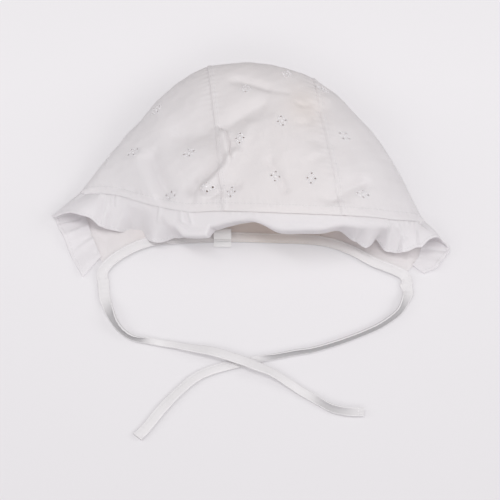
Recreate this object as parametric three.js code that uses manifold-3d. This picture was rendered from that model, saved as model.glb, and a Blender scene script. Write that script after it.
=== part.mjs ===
// A baby's bonnet-style sun hat of white eyelet cotton, lying on its nape with its ties laid out before it.
// Millimetres, +Z up. +X is the right of the hat as it lies, +Y the back of the crown, -Y the face opening.
// The origin is on the table, under the middle of the hat without its ties.
import * as THREE from "three";
import { mergeVertices } from "three/addons/utils/BufferGeometryUtils.js";
import Module from "manifold-3d";

const wasm = await Module();
wasm.setup();

// Cloth wall, and the clearance between pieces that are sewn together
const CLOTH = 1.0;
const SEWN_GAP = 0.4;

// Neck binding: a tape folded over the raw neck edge. The ties are the same tape, past the jaw corners.
const BINDING = { width: 9, beyondEdge: 2.6, wall: 0.8, slot: 1.7, chamfer: 0.6, steps: 36 };
const BINDING_HEIGHT = 2 * BINDING.wall + BINDING.slot;
const EDGE_HEIGHT = BINDING_HEIGHT / 2;
const TIE = { width: 9, thickness: 2.4, chamfer: 0.7, stepsPerRow: 2 };

// Ruffle: a strip gathered onto the face edge. It leaves the crown's slope in the first part of its width.
const RUFFLE = {
  gathers: 25,
  gatherHeight: 2.6,
  bendWithin: 0.45,
  bendSteps: 12,
  restSoftness: 0.6,
  evenOver: 0.2, // in stations of the mouth
  columns: 142,
  rows: 4,
};

// Label: a short woven tape folded in half, sewn in at the back of the binding
const LABEL = { width: 14, length: 13, thickness: 0.8, height: 2.8, x: -22, backY: -45.5 };

// Pierced flowers: small round holes at the corners of a diamond. The side panels are cut across the cloth,
// so their flowers lie sideways.
const FLOWER = { long: 3.7, short: 2.7, holes: 4, holeRadius: 0.75, sides: 5, cutDepth: 6 };
const UPRIGHT_FLOWER = { sideways: FLOWER.short, backward: FLOWER.long };
const TURNED_FLOWER = { sideways: FLOWER.long, backward: FLOWER.short };

// The way over a rib goes from the face edge at 0 to the lower edge at 1: where it leaves the top
// and where it meets the table
const OVER = { top: 0.56, table: 0.72 };
// A rib's line: how far back its brow end is lifted, how far forward it turns under for its height at the
// back, the most of its leg that this takes, and where along the leg it comes up into the binding
const RIB_LINE = { brow: 0.4, turnUnder: 1.3, mostTurn: 0.6, edgeUpFrom: 0.6, edgeUpBy: 0.88 };
// How far outside the jaws the edge comes up from the table, in ribs
const JAW_RAMP = { from: 0.8, to: 0.3 };
// How soon folds fade in behind the face edge and out before the turn at the back
const FOLD_FADE = { face: 0.06, back: 0.12 };
const OVER_STEPS = { top: 14, turn: 5, table: 4 };

// The crown's ribs, from the left fold to the right one. A rib runs back from the face edge over the crown
// to its rearmost point, and forward along the table to the lower edge, which is the neck edge from jaw to
// jaw. rise lifts the brow end of the rib, and shoulder the part before it turns down at the back.
const RIBS = [
  { rib: "left fold", face: [-132, -15, 11], rear: [-137, -12, 6], edge: [-136, -18], rise: 0, shoulder: 4 },
  { rib: "left flank", face: [-118, -17, 16], rear: [-124, 2, 8], edge: [-128, -46], rise: 1, shoulder: 8 },
  { rib: "left jaw", face: [-102, -22, 20], rear: [-108, 21, 11], edge: [-115, -80], rise: 3, shoulder: 12 },
  { rib: "left cheek", face: [-80, -33, 26], rear: [-88, 45, 15], edge: [-101, -66], rise: 7, shoulder: 18 },
  { rib: "left temple", face: [-50, -45, 35], rear: [-62, 72, 21], edge: [-76, -55], rise: 12, shoulder: 24 },
  { rib: "left seam", face: [-22, -49, 43], rear: [-33, 88, 26], edge: [-34, -52], rise: 13, shoulder: 30 },
  { rib: "center", face: [26, -55, 50], rear: [8, 93, 28], edge: [12, -52], rise: 14, shoulder: 32 },
  { rib: "right seam", face: [72, -56, 48], rear: [48, 81, 26], edge: [56, -55], rise: 12, shoulder: 30 },
  { rib: "right temple", face: [97, -53, 40], rear: [76, 59, 21], edge: [80, -63], rise: 11, shoulder: 25 },
  { rib: "right cheek", face: [114, -50, 31], rear: [100, 32, 16], edge: [98, -74], rise: 8, shoulder: 18 },
  { rib: "right jaw", face: [125, -46, 23], rear: [118, 4, 11], edge: [120.5, -85.5], rise: 3, shoulder: 12 },
  { rib: "right flank", face: [133, -43, 16], rear: [130, -20, 8], edge: [135, -68], rise: 1, shoulder: 8 },
  { rib: "right fold", face: [136, -43, 11], rear: [140, -38, 6], edge: [140, -44], rise: 0, shoulder: 4 },
];
const LEFT_JAW = 2;
const LEFT_SEAM = 5;
const RIGHT_SEAM = 7;
const RIGHT_JAW = 10;
const LAST_RIB = RIBS.length - 1;
const HALF_SEAM = 0.006; // in ribs

const PANELS = [
  { node: "crown_left", from: 0, to: LEFT_SEAM - HALF_SEAM, stepsPerRib: 3, flower: TURNED_FLOWER },
  { node: "crown_center", from: LEFT_SEAM + HALF_SEAM, to: RIGHT_SEAM - HALF_SEAM, stepsPerRib: 5,
    flower: UPRIGHT_FLOWER },
  { node: "crown_right", from: RIGHT_SEAM + HALF_SEAM, to: LAST_RIB, stepsPerRib: 3, flower: TURNED_FLOWER },
];

// Where the binding goes on past the jaw corners, to the ties
const TAILS = { left: [-114.5, -92], right: [122.4, -95.5] };

// Folds and dents of the crown's upper side, as lines in plan. spread is half the width, height up or down.
const FOLDS = [
  { fold: "cheek ridge", from: [-90, 8], to: [-78, -27], spread: 7, height: 2.5 },
  { fold: "cheek crease", from: [-80, 6], to: [-68, -26], spread: 7, height: -4 },
  { fold: "tuck at the seam", from: [-22, 16], to: [-17, -7], spread: 4, height: 2.5 },
  { fold: "slanting fold", from: [-11, -4], to: [-34, -28], spread: 5, height: 4 },
  { fold: "under that fold", from: [-22, -8], to: [-46, -26], spread: 6, height: -4 },
  { fold: "pucker", from: [-37, -29], to: [-34, -31], spread: 4, height: 3.5 },
  { fold: "pucker crease", from: [-31, -36], to: [-10, -29], spread: 4, height: -3 },
  { fold: "left dent", from: [-50, 20], to: [-40, 22], spread: 15, height: -5 },
  { fold: "back dent", from: [7, 39], to: [-16, 27], spread: 9, height: -3 },
  { fold: "top crease", from: [-12, 69], to: [14, 60], spread: 5, height: -2 },
  { fold: "by the right seam", from: [56, 41], to: [54, 10], spread: 8, height: -3.5 },
  { fold: "right crease", from: [63, -45], to: [89, -25], spread: 6, height: -3 },
  { fold: "center crease", from: [16, -11], to: [28, -36], spread: 4, height: -1.8 },
  { fold: "brow ridge", from: [24, -49], to: [80, -50], spread: 4, height: 1.8 },
];

// The pierced flowers that show, each at a rib and a way over it
const FLOWERS = [
  { rib: 1.7, over: 0.5 },
  { rib: 2.7, over: 0.27 },
  { rib: 3.55, over: 0.41 },
  { rib: 3.6, over: 0.05 },
  { rib: 4.25, over: 0.17 },
  { rib: 4.7, over: 0.06 },
  { rib: 5.2, over: 0.05 },
  { rib: 5.45, over: 0.18 },
  { rib: 5.65, over: 0.33 },
  { rib: 5.95, over: 0.09 },
  { rib: 6.2, over: 0.23 },
  { rib: 6.45, over: 0.42 },
  { rib: 6.55, over: 0.09 },
  { rib: 7.2, over: 0.41 },
  { rib: 7.55, over: 0.24 },
  { rib: 7.8, over: 0.07 },
];

// The mouth: the edge that the ruffle is sewn to. Stations count round it from the left jaw to the right
// one: under the left side, round the left fold, rib by rib over the brow, and back on the right.
const MOUTH = [
  { station: 0, rib: LEFT_JAW, over: 1 },
  { station: 2, rib: 0, over: 1 },
  { station: 3, rib: 0, over: 0 },
  { station: 15, rib: LAST_RIB, over: 0 },
  { station: 16, rib: LAST_RIB, over: 1 },
  { station: 18, rib: RIGHT_JAW, over: 1 },
];

// How the ruffle lies: swing turns it in from the crown's slope and lean fans it along the edge, in degrees.
// reach is its width there.
const RUFFLE_FOLDS = [
  { station: 0.2, swing: 3, lean: 0, reach: 21 },
  { station: 1, swing: 4, lean: 0, reach: 21 },
  { station: 1.6, swing: 2, lean: -12, reach: 23 },
  { station: 2.1, swing: 2, lean: -25, reach: 25 },
  { station: 2.5, swing: 4, lean: -12, reach: 28 },
  { station: 3, swing: -25, lean: 0, reach: 28 },
  { station: 3.4, swing: -12, lean: 0, reach: 28 },
  { station: 4, swing: 8, lean: 0, reach: 28 },
  { station: 5, swing: 15, lean: 0, reach: 28 },
  { station: 6, swing: 26, lean: 0, reach: 30 },
  { station: 6.4, swing: 42, lean: 0, reach: 28 },
  { station: 7, swing: 56, lean: 0, reach: 28 },
  { station: 7.5, swing: 62, lean: 0, reach: 28 },
  { station: 8, swing: 74, lean: 0, reach: 28 },
  { station: 8.4, swing: 88, lean: 0, reach: 28 },
  { station: 8.7, swing: 78, lean: 0, reach: 28 },
  { station: 9, swing: 70, lean: 0, reach: 28 },
  { station: 9.5, swing: 74, lean: 0, reach: 28 },
  { station: 10, swing: 84, lean: 0, reach: 28 },
  { station: 10.35, swing: 70, lean: 0, reach: 28 },
  { station: 10.8, swing: 44, lean: 0, reach: 28 },
  { station: 11.1, swing: 70, lean: 0, reach: 28 },
  { station: 11.5, swing: 48, lean: 0, reach: 28 },
  { station: 12, swing: 34, lean: 0, reach: 28 },
  { station: 12.5, swing: 24, lean: 0, reach: 27 },
  { station: 13, swing: 20, lean: 0, reach: 25 },
  { station: 14, swing: 8, lean: 0, reach: 23 },
  { station: 15, swing: -10, lean: 0, reach: 19 },
  { station: 15.5, swing: 4, lean: 12, reach: 20 },
  { station: 15.9, swing: 2, lean: 28, reach: 21 },
  { station: 16.4, swing: 3, lean: 12, reach: 22 },
  { station: 17, swing: 4, lean: 0, reach: 19 },
  { station: 17.4, swing: 3, lean: 0, reach: 12 },
];

// The ties' routes on the table. roll stands the tape on its edge, in degrees, and lift raises it over the
// other tie.
const TIE_LEFT = [
  { x: -116.4, y: -92.5, roll: 0, lift: 0 },
  { x: -115.2, y: -104.3, roll: 5, lift: 0 },
  { x: -111.6, y: -116.4, roll: 25, lift: 0 },
  { x: -105.6, y: -128.4, roll: 58, lift: 0 },
  { x: -98.4, y: -136.7, roll: 66, lift: 0 },
  { x: -89.6, y: -141.8, roll: 42, lift: 0 },
  { x: -76, y: -144.5, roll: 14, lift: 0 },
  { x: -60.8, y: -147.3, roll: 10, lift: 0.2 },
  { x: -44, y: -151.5, roll: 8, lift: 1.2 },
  { x: -28.8, y: -155.2, roll: 2, lift: 3 },
  { x: -8, y: -162.5, roll: 0, lift: 3.2 },
  { x: 5.6, y: -168.5, roll: 0, lift: 3.2 },
  { x: 19.2, y: -174.6, roll: 5, lift: 2.6 },
  { x: 40, y: -188.4, roll: 22, lift: 0.4 },
  { x: 54.4, y: -198.1, roll: 44, lift: 0 },
  { x: 64, y: -203.7, roll: 54, lift: 0 },
  { x: 75.2, y: -206.4, roll: 50, lift: 0 },
  { x: 88.4, y: -206.9, roll: 45, lift: 0 },
];
const TIE_RIGHT = [
  { x: 124.4, y: -95.6, roll: 0, lift: 0 },
  { x: 125.3, y: -100.5, roll: 5, lift: 0 },
  { x: 123, y: -107.5, roll: 22, lift: 0 },
  { x: 117.2, y: -118, roll: 52, lift: 0 },
  { x: 105.6, y: -127.6, roll: 68, lift: 0 },
  { x: 93.6, y: -134.4, roll: 72, lift: 0 },
  { x: 72, y: -143.8, roll: 72, lift: 0 },
  { x: 50.4, y: -151.2, roll: 66, lift: 0 },
  { x: 36, y: -154, roll: 45, lift: 0 },
  { x: 18.4, y: -157.9, roll: 10, lift: 0 },
  { x: 0, y: -161.6, roll: 0, lift: 0 },
  { x: -20.8, y: -166.7, roll: 0, lift: 0 },
  { x: -40, y: -174.6, roll: 0, lift: 0 },
  { x: -54.4, y: -187.5, roll: 0, lift: 0 },
  { x: -68, y: -203.2, roll: 0, lift: 0 },
  { x: -80, y: -219.8, roll: 0, lift: 0 },
  { x: -87.2, y: -228.1, roll: 0, lift: 0 },
];

// Catmull-Rom through evenly spaced values
function spline(values, t) {
  const i = Math.min(Math.max(Math.floor(t), 0), values.length - 2);
  const f = t - i;
  const b = values[i];
  const c = values[i + 1];
  const a = i === 0 ? 2 * b - c : values[i - 1];
  const d = i + 2 === values.length ? 2 * c - b : values[i + 2];
  return b + 0.5 * f * (c - a + f * (2 * a - 5 * b + 4 * c - d + f * (3 * (b - c) + d - a)));
}

// A line through points given as [x, y, z], or [x, y] on the height z
function line(points, z) {
  const columns = [0, 1, 2].map((axis) => points.map((point) => point[axis] ?? z));
  return (t) => new THREE.Vector3(...columns.map((values) => spline(values, t)));
}

function evenSteps(from, to, count) {
  return Array.from({ length: count + 1 }, (_, i) => THREE.MathUtils.lerp(from, to, i / count));
}

// From 0 to 1 as x goes from one value to the other
function ramp(from, to, x) {
  return THREE.MathUtils.smoothstep(x, from, to);
}

// Smooth steps between the rows of a table, by its first column
function between(rows, key, name, x) {
  const after = Math.max(1, rows.findIndex((row) => row[key] >= x));
  const [a, b] = [rows[after - 1], rows[after]];
  return THREE.MathUtils.lerp(a[name], b[name], ramp(a[key], b[key], x));
}

const edges = RIBS.map((row) => row.edge);
const faceLine = line(RIBS.map((row) => row.face));
const rearLine = line(RIBS.map((row) => row.rear));
const leftUnder = line(edges.slice(0, LEFT_JAW + 1), CLOTH / 2);
const rightUnder = line(edges.slice(RIGHT_JAW), CLOTH / 2);
const neckPoints = [TAILS.left, ...edges.slice(LEFT_JAW, RIGHT_JAW + 1), TAILS.right];
const neckLine = line(neckPoints, CLOTH / 2);
const rises = RIBS.map((row) => row.rise);
const shoulders = RIBS.map((row) => row.shoulder);

// The lower edge: under the left side, along the neck, under the right side
function lowerEdge(rib) {
  if (rib < LEFT_JAW) {
    return leftUnder(rib);
  }
  return rib > RIGHT_JAW ? rightUnder(rib - RIGHT_JAW) : neckLine(rib - LEFT_JAW + 1);
}

// The crown's middle surface without its folds, at a rib and a way over it
function plainCrown(rib, over) {
  const face = faceLine(rib);
  const rear = rearLine(rib);
  if (over <= OVER.top) {
    const brow = face.clone().lerp(rear, RIB_LINE.brow).setZ(face.z + spline(rises, rib));
    const back = rear.clone().setZ(rear.z + spline(shoulders, rib));
    return new THREE.CubicBezierCurve3(face, brow, back, rear).getPoint(over / OVER.top);
  }
  const edge = lowerEdge(rib);
  const below = rear.clone().setZ(CLOTH / 2);
  const tuck = Math.min(RIB_LINE.turnUnder * rear.z, RIB_LINE.mostTurn * below.distanceTo(edge));
  const landing = below.clone().add(edge.clone().sub(below).setLength(tuck));
  if (over <= OVER.table) {
    const turned = (over - OVER.top) / (OVER.table - OVER.top);
    return new THREE.QuadraticBezierCurve3(rear, below, landing).getPoint(turned);
  }
  const forward = (over - OVER.table) / (1 - OVER.table);
  const { from, to } = JAW_RAMP;
  const bound = ramp(LEFT_JAW - from, LEFT_JAW - to, rib) * (1 - ramp(RIGHT_JAW + to, RIGHT_JAW + from, rib));
  const lift = (EDGE_HEIGHT - CLOTH / 2) * bound * ramp(RIB_LINE.edgeUpFrom, RIB_LINE.edgeUpBy, forward);
  return landing.lerp(edge, forward).add(new THREE.Vector3(0, 0, lift));
}

// Unit normal of a surface given by a function of two numbers
function normalOf(surface, a, b) {
  const step = 1e-3;
  const alongA = surface(a + step, b).sub(surface(a - step, b));
  const alongB = surface(a, b + step).sub(surface(a, b - step));
  return alongA.cross(alongB).normalize();
}

function foldHeight(x, y) {
  let height = 0;
  for (const fold of FOLDS) {
    const from = new THREE.Vector2(...fold.from);
    const along = new THREE.Vector2(...fold.to).sub(from);
    const spot = new THREE.Vector2(x, y).sub(from);
    const t = THREE.MathUtils.clamp(spot.dot(along) / along.lengthSq(), 0, 1);
    const away = spot.distanceTo(along.multiplyScalar(t)) / fold.spread;
    height += fold.height * Math.exp(-away * away);
  }
  return height;
}

// The crown's middle surface with its folds, which fade out at the face edge and the turn at the back
function crown(rib, over) {
  const point = plainCrown(rib, over);
  const onTop = ramp(0, FOLD_FADE.face, over) * (1 - ramp(OVER.top - FOLD_FADE.back, OVER.top, over));
  if (onTop > 0) {
    point.addScaledVector(normalOf(plainCrown, rib, over), onTop * foldHeight(point.x, point.y));
  }
  return point;
}

// A closed solid through rings of points. The two halves of a ring are cut into triangles in step,
// so that the faces of thin cloth stay apart. caps lists the triangles that close a ring.
function loft(rings, caps) {
  const size = rings[0].length;
  const index = [];
  for (let i = 0; i + 1 < rings.length; i++) {
    const a = i * size;
    const b = a + size;
    for (let k = 0; k < size; k++) {
      const next = (k + 1) % size;
      if (2 * k < size) {
        index.push(a + k, b + k, b + next, a + k, b + next, a + next);
      } else {
        index.push(a + k, b + k, a + next, b + k, b + next, a + next);
      }
    }
  }
  const last = (rings.length - 1) * size;
  for (const [p, q, r] of caps) {
    index.push(p, q, r, last + p, last + r, last + q);
  }
  const geometry = new THREE.BufferGeometry().setFromPoints(rings.flat());
  return geometry.setIndex(index);
}

// Triangles that close a ring running up one side of a strip and back down the other
function stripCaps(rows) {
  const caps = [];
  for (let j = 0; j < rows; j++) {
    const back = 2 * rows + 1 - j;
    caps.push([j, j + 1, back - 1], [j, back - 1, back]);
  }
  return caps;
}

// Cloth of even thickness about a surface
function clothSheet(surface, alongs, acrosses) {
  const rings = alongs.map((a) => {
    const points = acrosses.map((b) => surface(a, b));
    const halves = acrosses.map((b) => normalOf(surface, a, b).multiplyScalar(CLOTH / 2));
    const outer = points.map((point, j) => point.clone().add(halves[j]));
    const inner = points.map((point, j) => point.clone().sub(halves[j]));
    return [...outer, ...inner.reverse()];
  });
  return loft(rings, stripCaps(acrosses.length - 1));
}

// A flat profile of [side, up] points carried along a route of { place, side, up } frames
function sweep(profile, route) {
  const outline = profile.map(([side, up]) => new THREE.Vector2(side, up));
  const caps = THREE.ShapeUtils.triangulateShape(outline, []).map((face) => face.sort((a, b) => a - b));
  const rings = route.map((frame) =>
    profile.map(([side, up]) =>
      frame.place.clone().addScaledVector(frame.side, side).addScaledVector(frame.up, up)));
  return loft(rings, caps);
}

function solidOf(geometry) {
  const vertProperties = geometry.attributes.position.array;
  const triVerts = Uint32Array.from(geometry.index.array);
  return new wasm.Manifold(new wasm.Mesh({ numProp: 3, vertProperties, triVerts }));
}

// The cutter for a hole of a flower, standing across the cloth at the origin
function holeCutter({ sideways, backward }, hole) {
  const { holes, holeRadius, cutDepth, sides } = FLOWER;
  const turn = (2 * Math.PI * hole) / holes;
  const geometry = new THREE.CylinderGeometry(holeRadius, holeRadius, cutDepth, sides);
  geometry.deleteAttribute("normal");
  geometry.deleteAttribute("uv");
  return mergeVertices(geometry).translate(sideways * Math.cos(turn), 0, backward * Math.sin(turn));
}

// A panel with its flowers cut through it
function pierced(geometry, { from, to, flower }) {
  let panel = solidOf(geometry);
  for (const { rib, over } of FLOWERS.filter((place) => place.rib > from && place.rib < to)) {
    const normal = normalOf(crown, rib, over);
    const side = crown(rib, over).sub(crown(rib - 0.01, over)).projectOnPlane(normal).normalize();
    const stance = new THREE.Matrix4().makeBasis(side, normal, side.clone().cross(normal));
    stance.setPosition(crown(rib, over));
    for (let hole = 0; hole < FLOWER.holes; hole++) {
      panel = panel.subtract(solidOf(holeCutter(flower, hole).applyMatrix4(stance)));
    }
  }
  const { vertProperties, triVerts } = panel.getMesh();
  const cut = new THREE.BufferGeometry();
  cut.setAttribute("position", new THREE.BufferAttribute(vertProperties, 3));
  return cut.setIndex(Array.from(triVerts));
}

// One panel of the crown between two ribs
function crownPanel(panel) {
  const { from, to, stepsPerRib } = panel;
  const ribs = evenSteps(from, to, Math.round((to - from) * stepsPerRib));
  const overs = [
    ...evenSteps(0, OVER.top, OVER_STEPS.top),
    ...evenSteps(OVER.top, OVER.table, OVER_STEPS.turn).slice(1),
    ...evenSteps(OVER.table, 1, OVER_STEPS.table).slice(1),
  ];
  return pierced(clothSheet(crown, ribs, overs), panel);
}

// The sewing edge at a station of the mouth: the place, and the crown's normal there
function mouth(station) {
  const after = Math.max(1, MOUTH.findIndex((row) => row.station >= station));
  const [a, b] = [MOUTH[after - 1], MOUTH[after]];
  const t = (station - a.station) / (b.station - a.station);
  const rib = THREE.MathUtils.lerp(a.rib, b.rib, t);
  const over = THREE.MathUtils.lerp(a.over, b.over, t);
  return { place: plainCrown(rib, over), normal: normalOf(plainCrown, rib, over) };
}

// The directions along the edge, out of the crown's cloth and off its face, evened out to either side
function mouthFrame(station) {
  const before = mouth(station - RUFFLE.evenOver);
  const after = mouth(station + RUFFLE.evenOver);
  const here = mouth(station);
  const along = after.place.sub(before.place).normalize();
  const outward = along.clone().cross(before.normal.add(here.normal).add(after.normal)).normalize();
  return { place: here.place, along, outward, normal: outward.clone().cross(along) };
}

// A height eased so that cloth coming down comes to rest on the table
function aboveTable(z) {
  const clear = z - CLOTH / 2;
  return CLOTH / 2 + (clear + Math.hypot(clear, RUFFLE.restSoftness)) / 2;
}

// The ruffle's middle surface, from the seam at 0 to the hem at 1
function ruffle(station, across) {
  const { place, along, outward, normal } = mouthFrame(station);
  const swing = THREE.MathUtils.degToRad(between(RUFFLE_FOLDS, "station", "swing", station));
  const lean = THREE.MathUtils.degToRad(between(RUFFLE_FOLDS, "station", "lean", station));
  const reach = between(RUFFLE_FOLDS, "station", "reach", station);
  const point = place.addScaledVector(outward, SEWN_GAP);
  outward.multiplyScalar(Math.cos(lean)).addScaledVector(along, Math.sin(lean));
  const part = (across / RUFFLE.bendSteps) * reach;
  let turn = 0;
  for (let step = 0; step < RUFFLE.bendSteps; step++) {
    turn = swing * ramp(0, RUFFLE.bendWithin, (across * (step + 0.5)) / RUFFLE.bendSteps);
    point.addScaledVector(outward, part * Math.cos(turn)).addScaledVector(normal, -part * Math.sin(turn));
  }
  const wave = 0.5 - 0.5 * Math.cos((2 * Math.PI * RUFFLE.gathers * station) / LAST_RIB);
  const inward = normal.multiplyScalar(-Math.cos(turn)).addScaledVector(outward, -Math.sin(turn));
  point.addScaledVector(inward, RUFFLE.gatherHeight * across * wave);
  return point.setZ(aboveTable(point.z));
}

function ruffleStrip() {
  const first = RUFFLE_FOLDS[0].station;
  const last = RUFFLE_FOLDS[RUFFLE_FOLDS.length - 1].station;
  return clothSheet(ruffle, evenSteps(first, last, RUFFLE.columns), evenSteps(0, 1, RUFFLE.rows));
}

// Frames along a flat route, with side to the right of the way along it
function flatFrames(route, ends, count) {
  const step = 1e-3;
  return evenSteps(0, ends, count).map((t) => {
    const along = route(t + step).sub(route(t - step)).setZ(0).normalize();
    const up = new THREE.Vector3(0, 0, 1);
    return { t, place: route(t), along, side: along.clone().cross(up), up };
  });
}

// The binding lies open to the crown behind it, with the neck edge between its two walls
function neckBinding() {
  const front = BINDING.beyondEdge;
  const back = front - BINDING.width;
  const { wall, chamfer } = BINDING;
  const top = BINDING_HEIGHT;
  const profile = [
    [front, chamfer], [front, top - chamfer], [front - chamfer, top], [back, top], [back, top - wall],
    [SEWN_GAP, top - wall], [SEWN_GAP, wall], [back, wall], [back, 0], [front - chamfer, 0],
  ];
  const frames = flatFrames(neckLine, neckPoints.length - 1, BINDING.steps);
  frames.forEach((frame) => frame.place.setZ(0));
  return sweep(profile, frames);
}

// A tie: the tape flat or standing on its edge, with its lowest edge on the table or on the other tie
function tie(rows) {
  const w = TIE.width / 2;
  const h = TIE.thickness / 2;
  const c = TIE.chamfer;
  const profile = [
    [w, c - h], [w, h - c], [w - c, h], [c - w, h], [-w, h - c], [-w, c - h], [c - w, -h], [w - c, -h],
  ];
  const route = line(rows.map((row) => [row.x, row.y, 0]));
  const frames = flatFrames(route, rows.length - 1, Math.round((rows.length - 1) * TIE.stepsPerRow));
  for (const frame of frames) {
    const roll = THREE.MathUtils.degToRad(spline(rows.map((row) => row.roll), frame.t));
    const lift = Math.max(0, spline(rows.map((row) => row.lift), frame.t));
    frame.place.setZ(lift + w * Math.abs(Math.sin(roll)) + h * Math.abs(Math.cos(roll)));
    frame.side.applyAxisAngle(frame.along, roll);
    frame.up.applyAxisAngle(frame.along, roll);
  }
  return sweep(profile, frames);
}

// The label's two leaves and the fold between them, over the binding
function foldedLabel() {
  const { length, thickness, height, width } = LABEL;
  const middle = [length - height / 2, height / 2];
  const outline = new THREE.Shape()
    .moveTo(0, 0)
    .absarc(...middle, height / 2, -Math.PI / 2, Math.PI / 2)
    .lineTo(length / 5, height)
    .lineTo(length / 5, height - thickness)
    .absarc(...middle, height / 2 - thickness, Math.PI / 2, -Math.PI / 2, true)
    .lineTo(0, thickness);
  const extrusion = { depth: width, bevelEnabled: false, curveSegments: 6 };
  const geometry = new THREE.ExtrudeGeometry(outline, extrusion);
  const forward = new THREE.Vector3(0, -1, 0);
  const up = new THREE.Vector3(0, 0, 1);
  geometry.applyMatrix4(new THREE.Matrix4().makeBasis(forward, up, forward.clone().cross(up)));
  return geometry.translate(LABEL.x + width / 2, LABEL.backY, BINDING_HEIGHT + SEWN_GAP);
}

const materials = {
  cotton: new THREE.MeshStandardMaterial({ color: 0xe9e6e8, roughness: 0.9, metalness: 0 }),
  tape: new THREE.MeshStandardMaterial({ color: 0xe6e3e5, roughness: 0.85, metalness: 0 }),
  label: new THREE.MeshStandardMaterial({ color: 0xf2f1f1, roughness: 0.6, metalness: 0 }),
};

function piece(name, geometry, material) {
  const mesh = new THREE.Mesh(geometry, material);
  mesh.name = name;
  return mesh;
}

const hat = new THREE.Group();
hat.add(
  ...PANELS.map((panel) => piece(panel.node, crownPanel(panel), materials.cotton)),
  piece("ruffle", ruffleStrip(), materials.cotton),
  piece("neck_binding", neckBinding(), materials.tape),
  piece("tie_left", tie(TIE_LEFT), materials.tape),
  piece("tie_right", tie(TIE_RIGHT), materials.tape),
  piece("label", foldedLabel(), materials.label),
);
export default hat;
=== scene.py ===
# The looks of a baby's sun hat: folded and gathered eyelet cotton, tape, a blank label and stitching.
# Lengths are in millimetres until a mesh is made, except where metres are named. The frame is the part's own.
import math
from collections import namedtuple

import bpy
import numpy as np
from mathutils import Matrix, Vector, geometry


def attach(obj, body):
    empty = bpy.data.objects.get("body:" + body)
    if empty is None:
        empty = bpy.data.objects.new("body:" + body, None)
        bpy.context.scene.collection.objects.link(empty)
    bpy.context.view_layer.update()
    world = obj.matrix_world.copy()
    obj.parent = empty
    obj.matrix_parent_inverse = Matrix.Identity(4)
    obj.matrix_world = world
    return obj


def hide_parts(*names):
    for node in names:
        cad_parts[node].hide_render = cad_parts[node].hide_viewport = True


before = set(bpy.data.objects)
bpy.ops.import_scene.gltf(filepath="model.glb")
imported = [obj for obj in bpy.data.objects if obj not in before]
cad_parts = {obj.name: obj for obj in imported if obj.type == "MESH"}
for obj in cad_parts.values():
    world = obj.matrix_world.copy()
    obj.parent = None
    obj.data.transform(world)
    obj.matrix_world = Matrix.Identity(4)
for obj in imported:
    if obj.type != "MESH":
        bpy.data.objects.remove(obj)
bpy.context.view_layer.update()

MM = 0.001

# Cloth and tape
CROWN_CLOTH = 0.6
RUFFLE_CLOTH = 0.5
LABEL_CLOTH = 0.4
REST = 0.12  # the least height of a cloth's underside
CROWN_REST = 0.5  # the crown lies on the stitching of its underside
EDGE_HEIGHT = 1.65
PART_CLOTH = 1.0

# The way over a rib, from the face edge at 0 to the lower edge at 1
OVER_TOP = 0.56
OVER_TABLE = 0.72
RIB_BROW = 0.4
TURN_UNDER = 1.3
MOST_TURN = 0.6
EDGE_UP_FROM = 0.6
EDGE_UP_BY = 0.88
JAW_RAMP_FROM = 0.8
JAW_RAMP_TO = 0.3

Rib = namedtuple("Rib", "name face rear edge rise shoulder")
RIBS = [
    Rib("left fold", (-132, -15, 11), (-137, -12, 6), (-136, -18), 0, 4),
    Rib("left flank", (-118, -17, 16), (-125.5, 4, 8), (-128, -46), 1, 8),
    Rib("left jaw", (-102, -22, 20), (-111, 24.5, 11), (-115, -80), 3, 12),
    Rib("left cheek", (-80, -33, 26), (-91, 48.5, 15), (-101, -66), 7, 18),
    Rib("left temple", (-50, -45, 35), (-65, 76.5, 21), (-76, -55), 12, 24),
    Rib("left seam", (-22, -49, 43), (-35, 94, 26), (-34, -52), 13, 30),
    Rib("center", (26, -55, 50), (8, 96.5, 28), (12, -52), 14, 32),
    Rib("right seam", (72, -56, 48), (49.5, 84, 26), (56, -55), 12, 30),
    Rib("right temple", (97, -53, 40), (78, 61, 21), (80, -63), 11, 25),
    Rib("right cheek", (114, -50, 31), (101.5, 33.5, 16), (98, -74), 8, 18),
    Rib("right jaw", (125, -46, 23), (119.5, 5, 11), (120.5, -85.5), 3, 12),
    Rib("right flank", (133, -43, 16), (130, -20, 8), (135, -68), 1, 8),
    Rib("right fold", (136, -43, 11), (140, -38, 6), (140, -44), 0, 4),
]
LEFT_JAW = 2
LEFT_SEAM = 5
RIGHT_SEAM = 7
RIGHT_JAW = 10
LAST_RIB = len(RIBS) - 1
TAIL_LEFT = (-114.5, -92)
TAIL_RIGHT = (122.4, -95.5)

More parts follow.
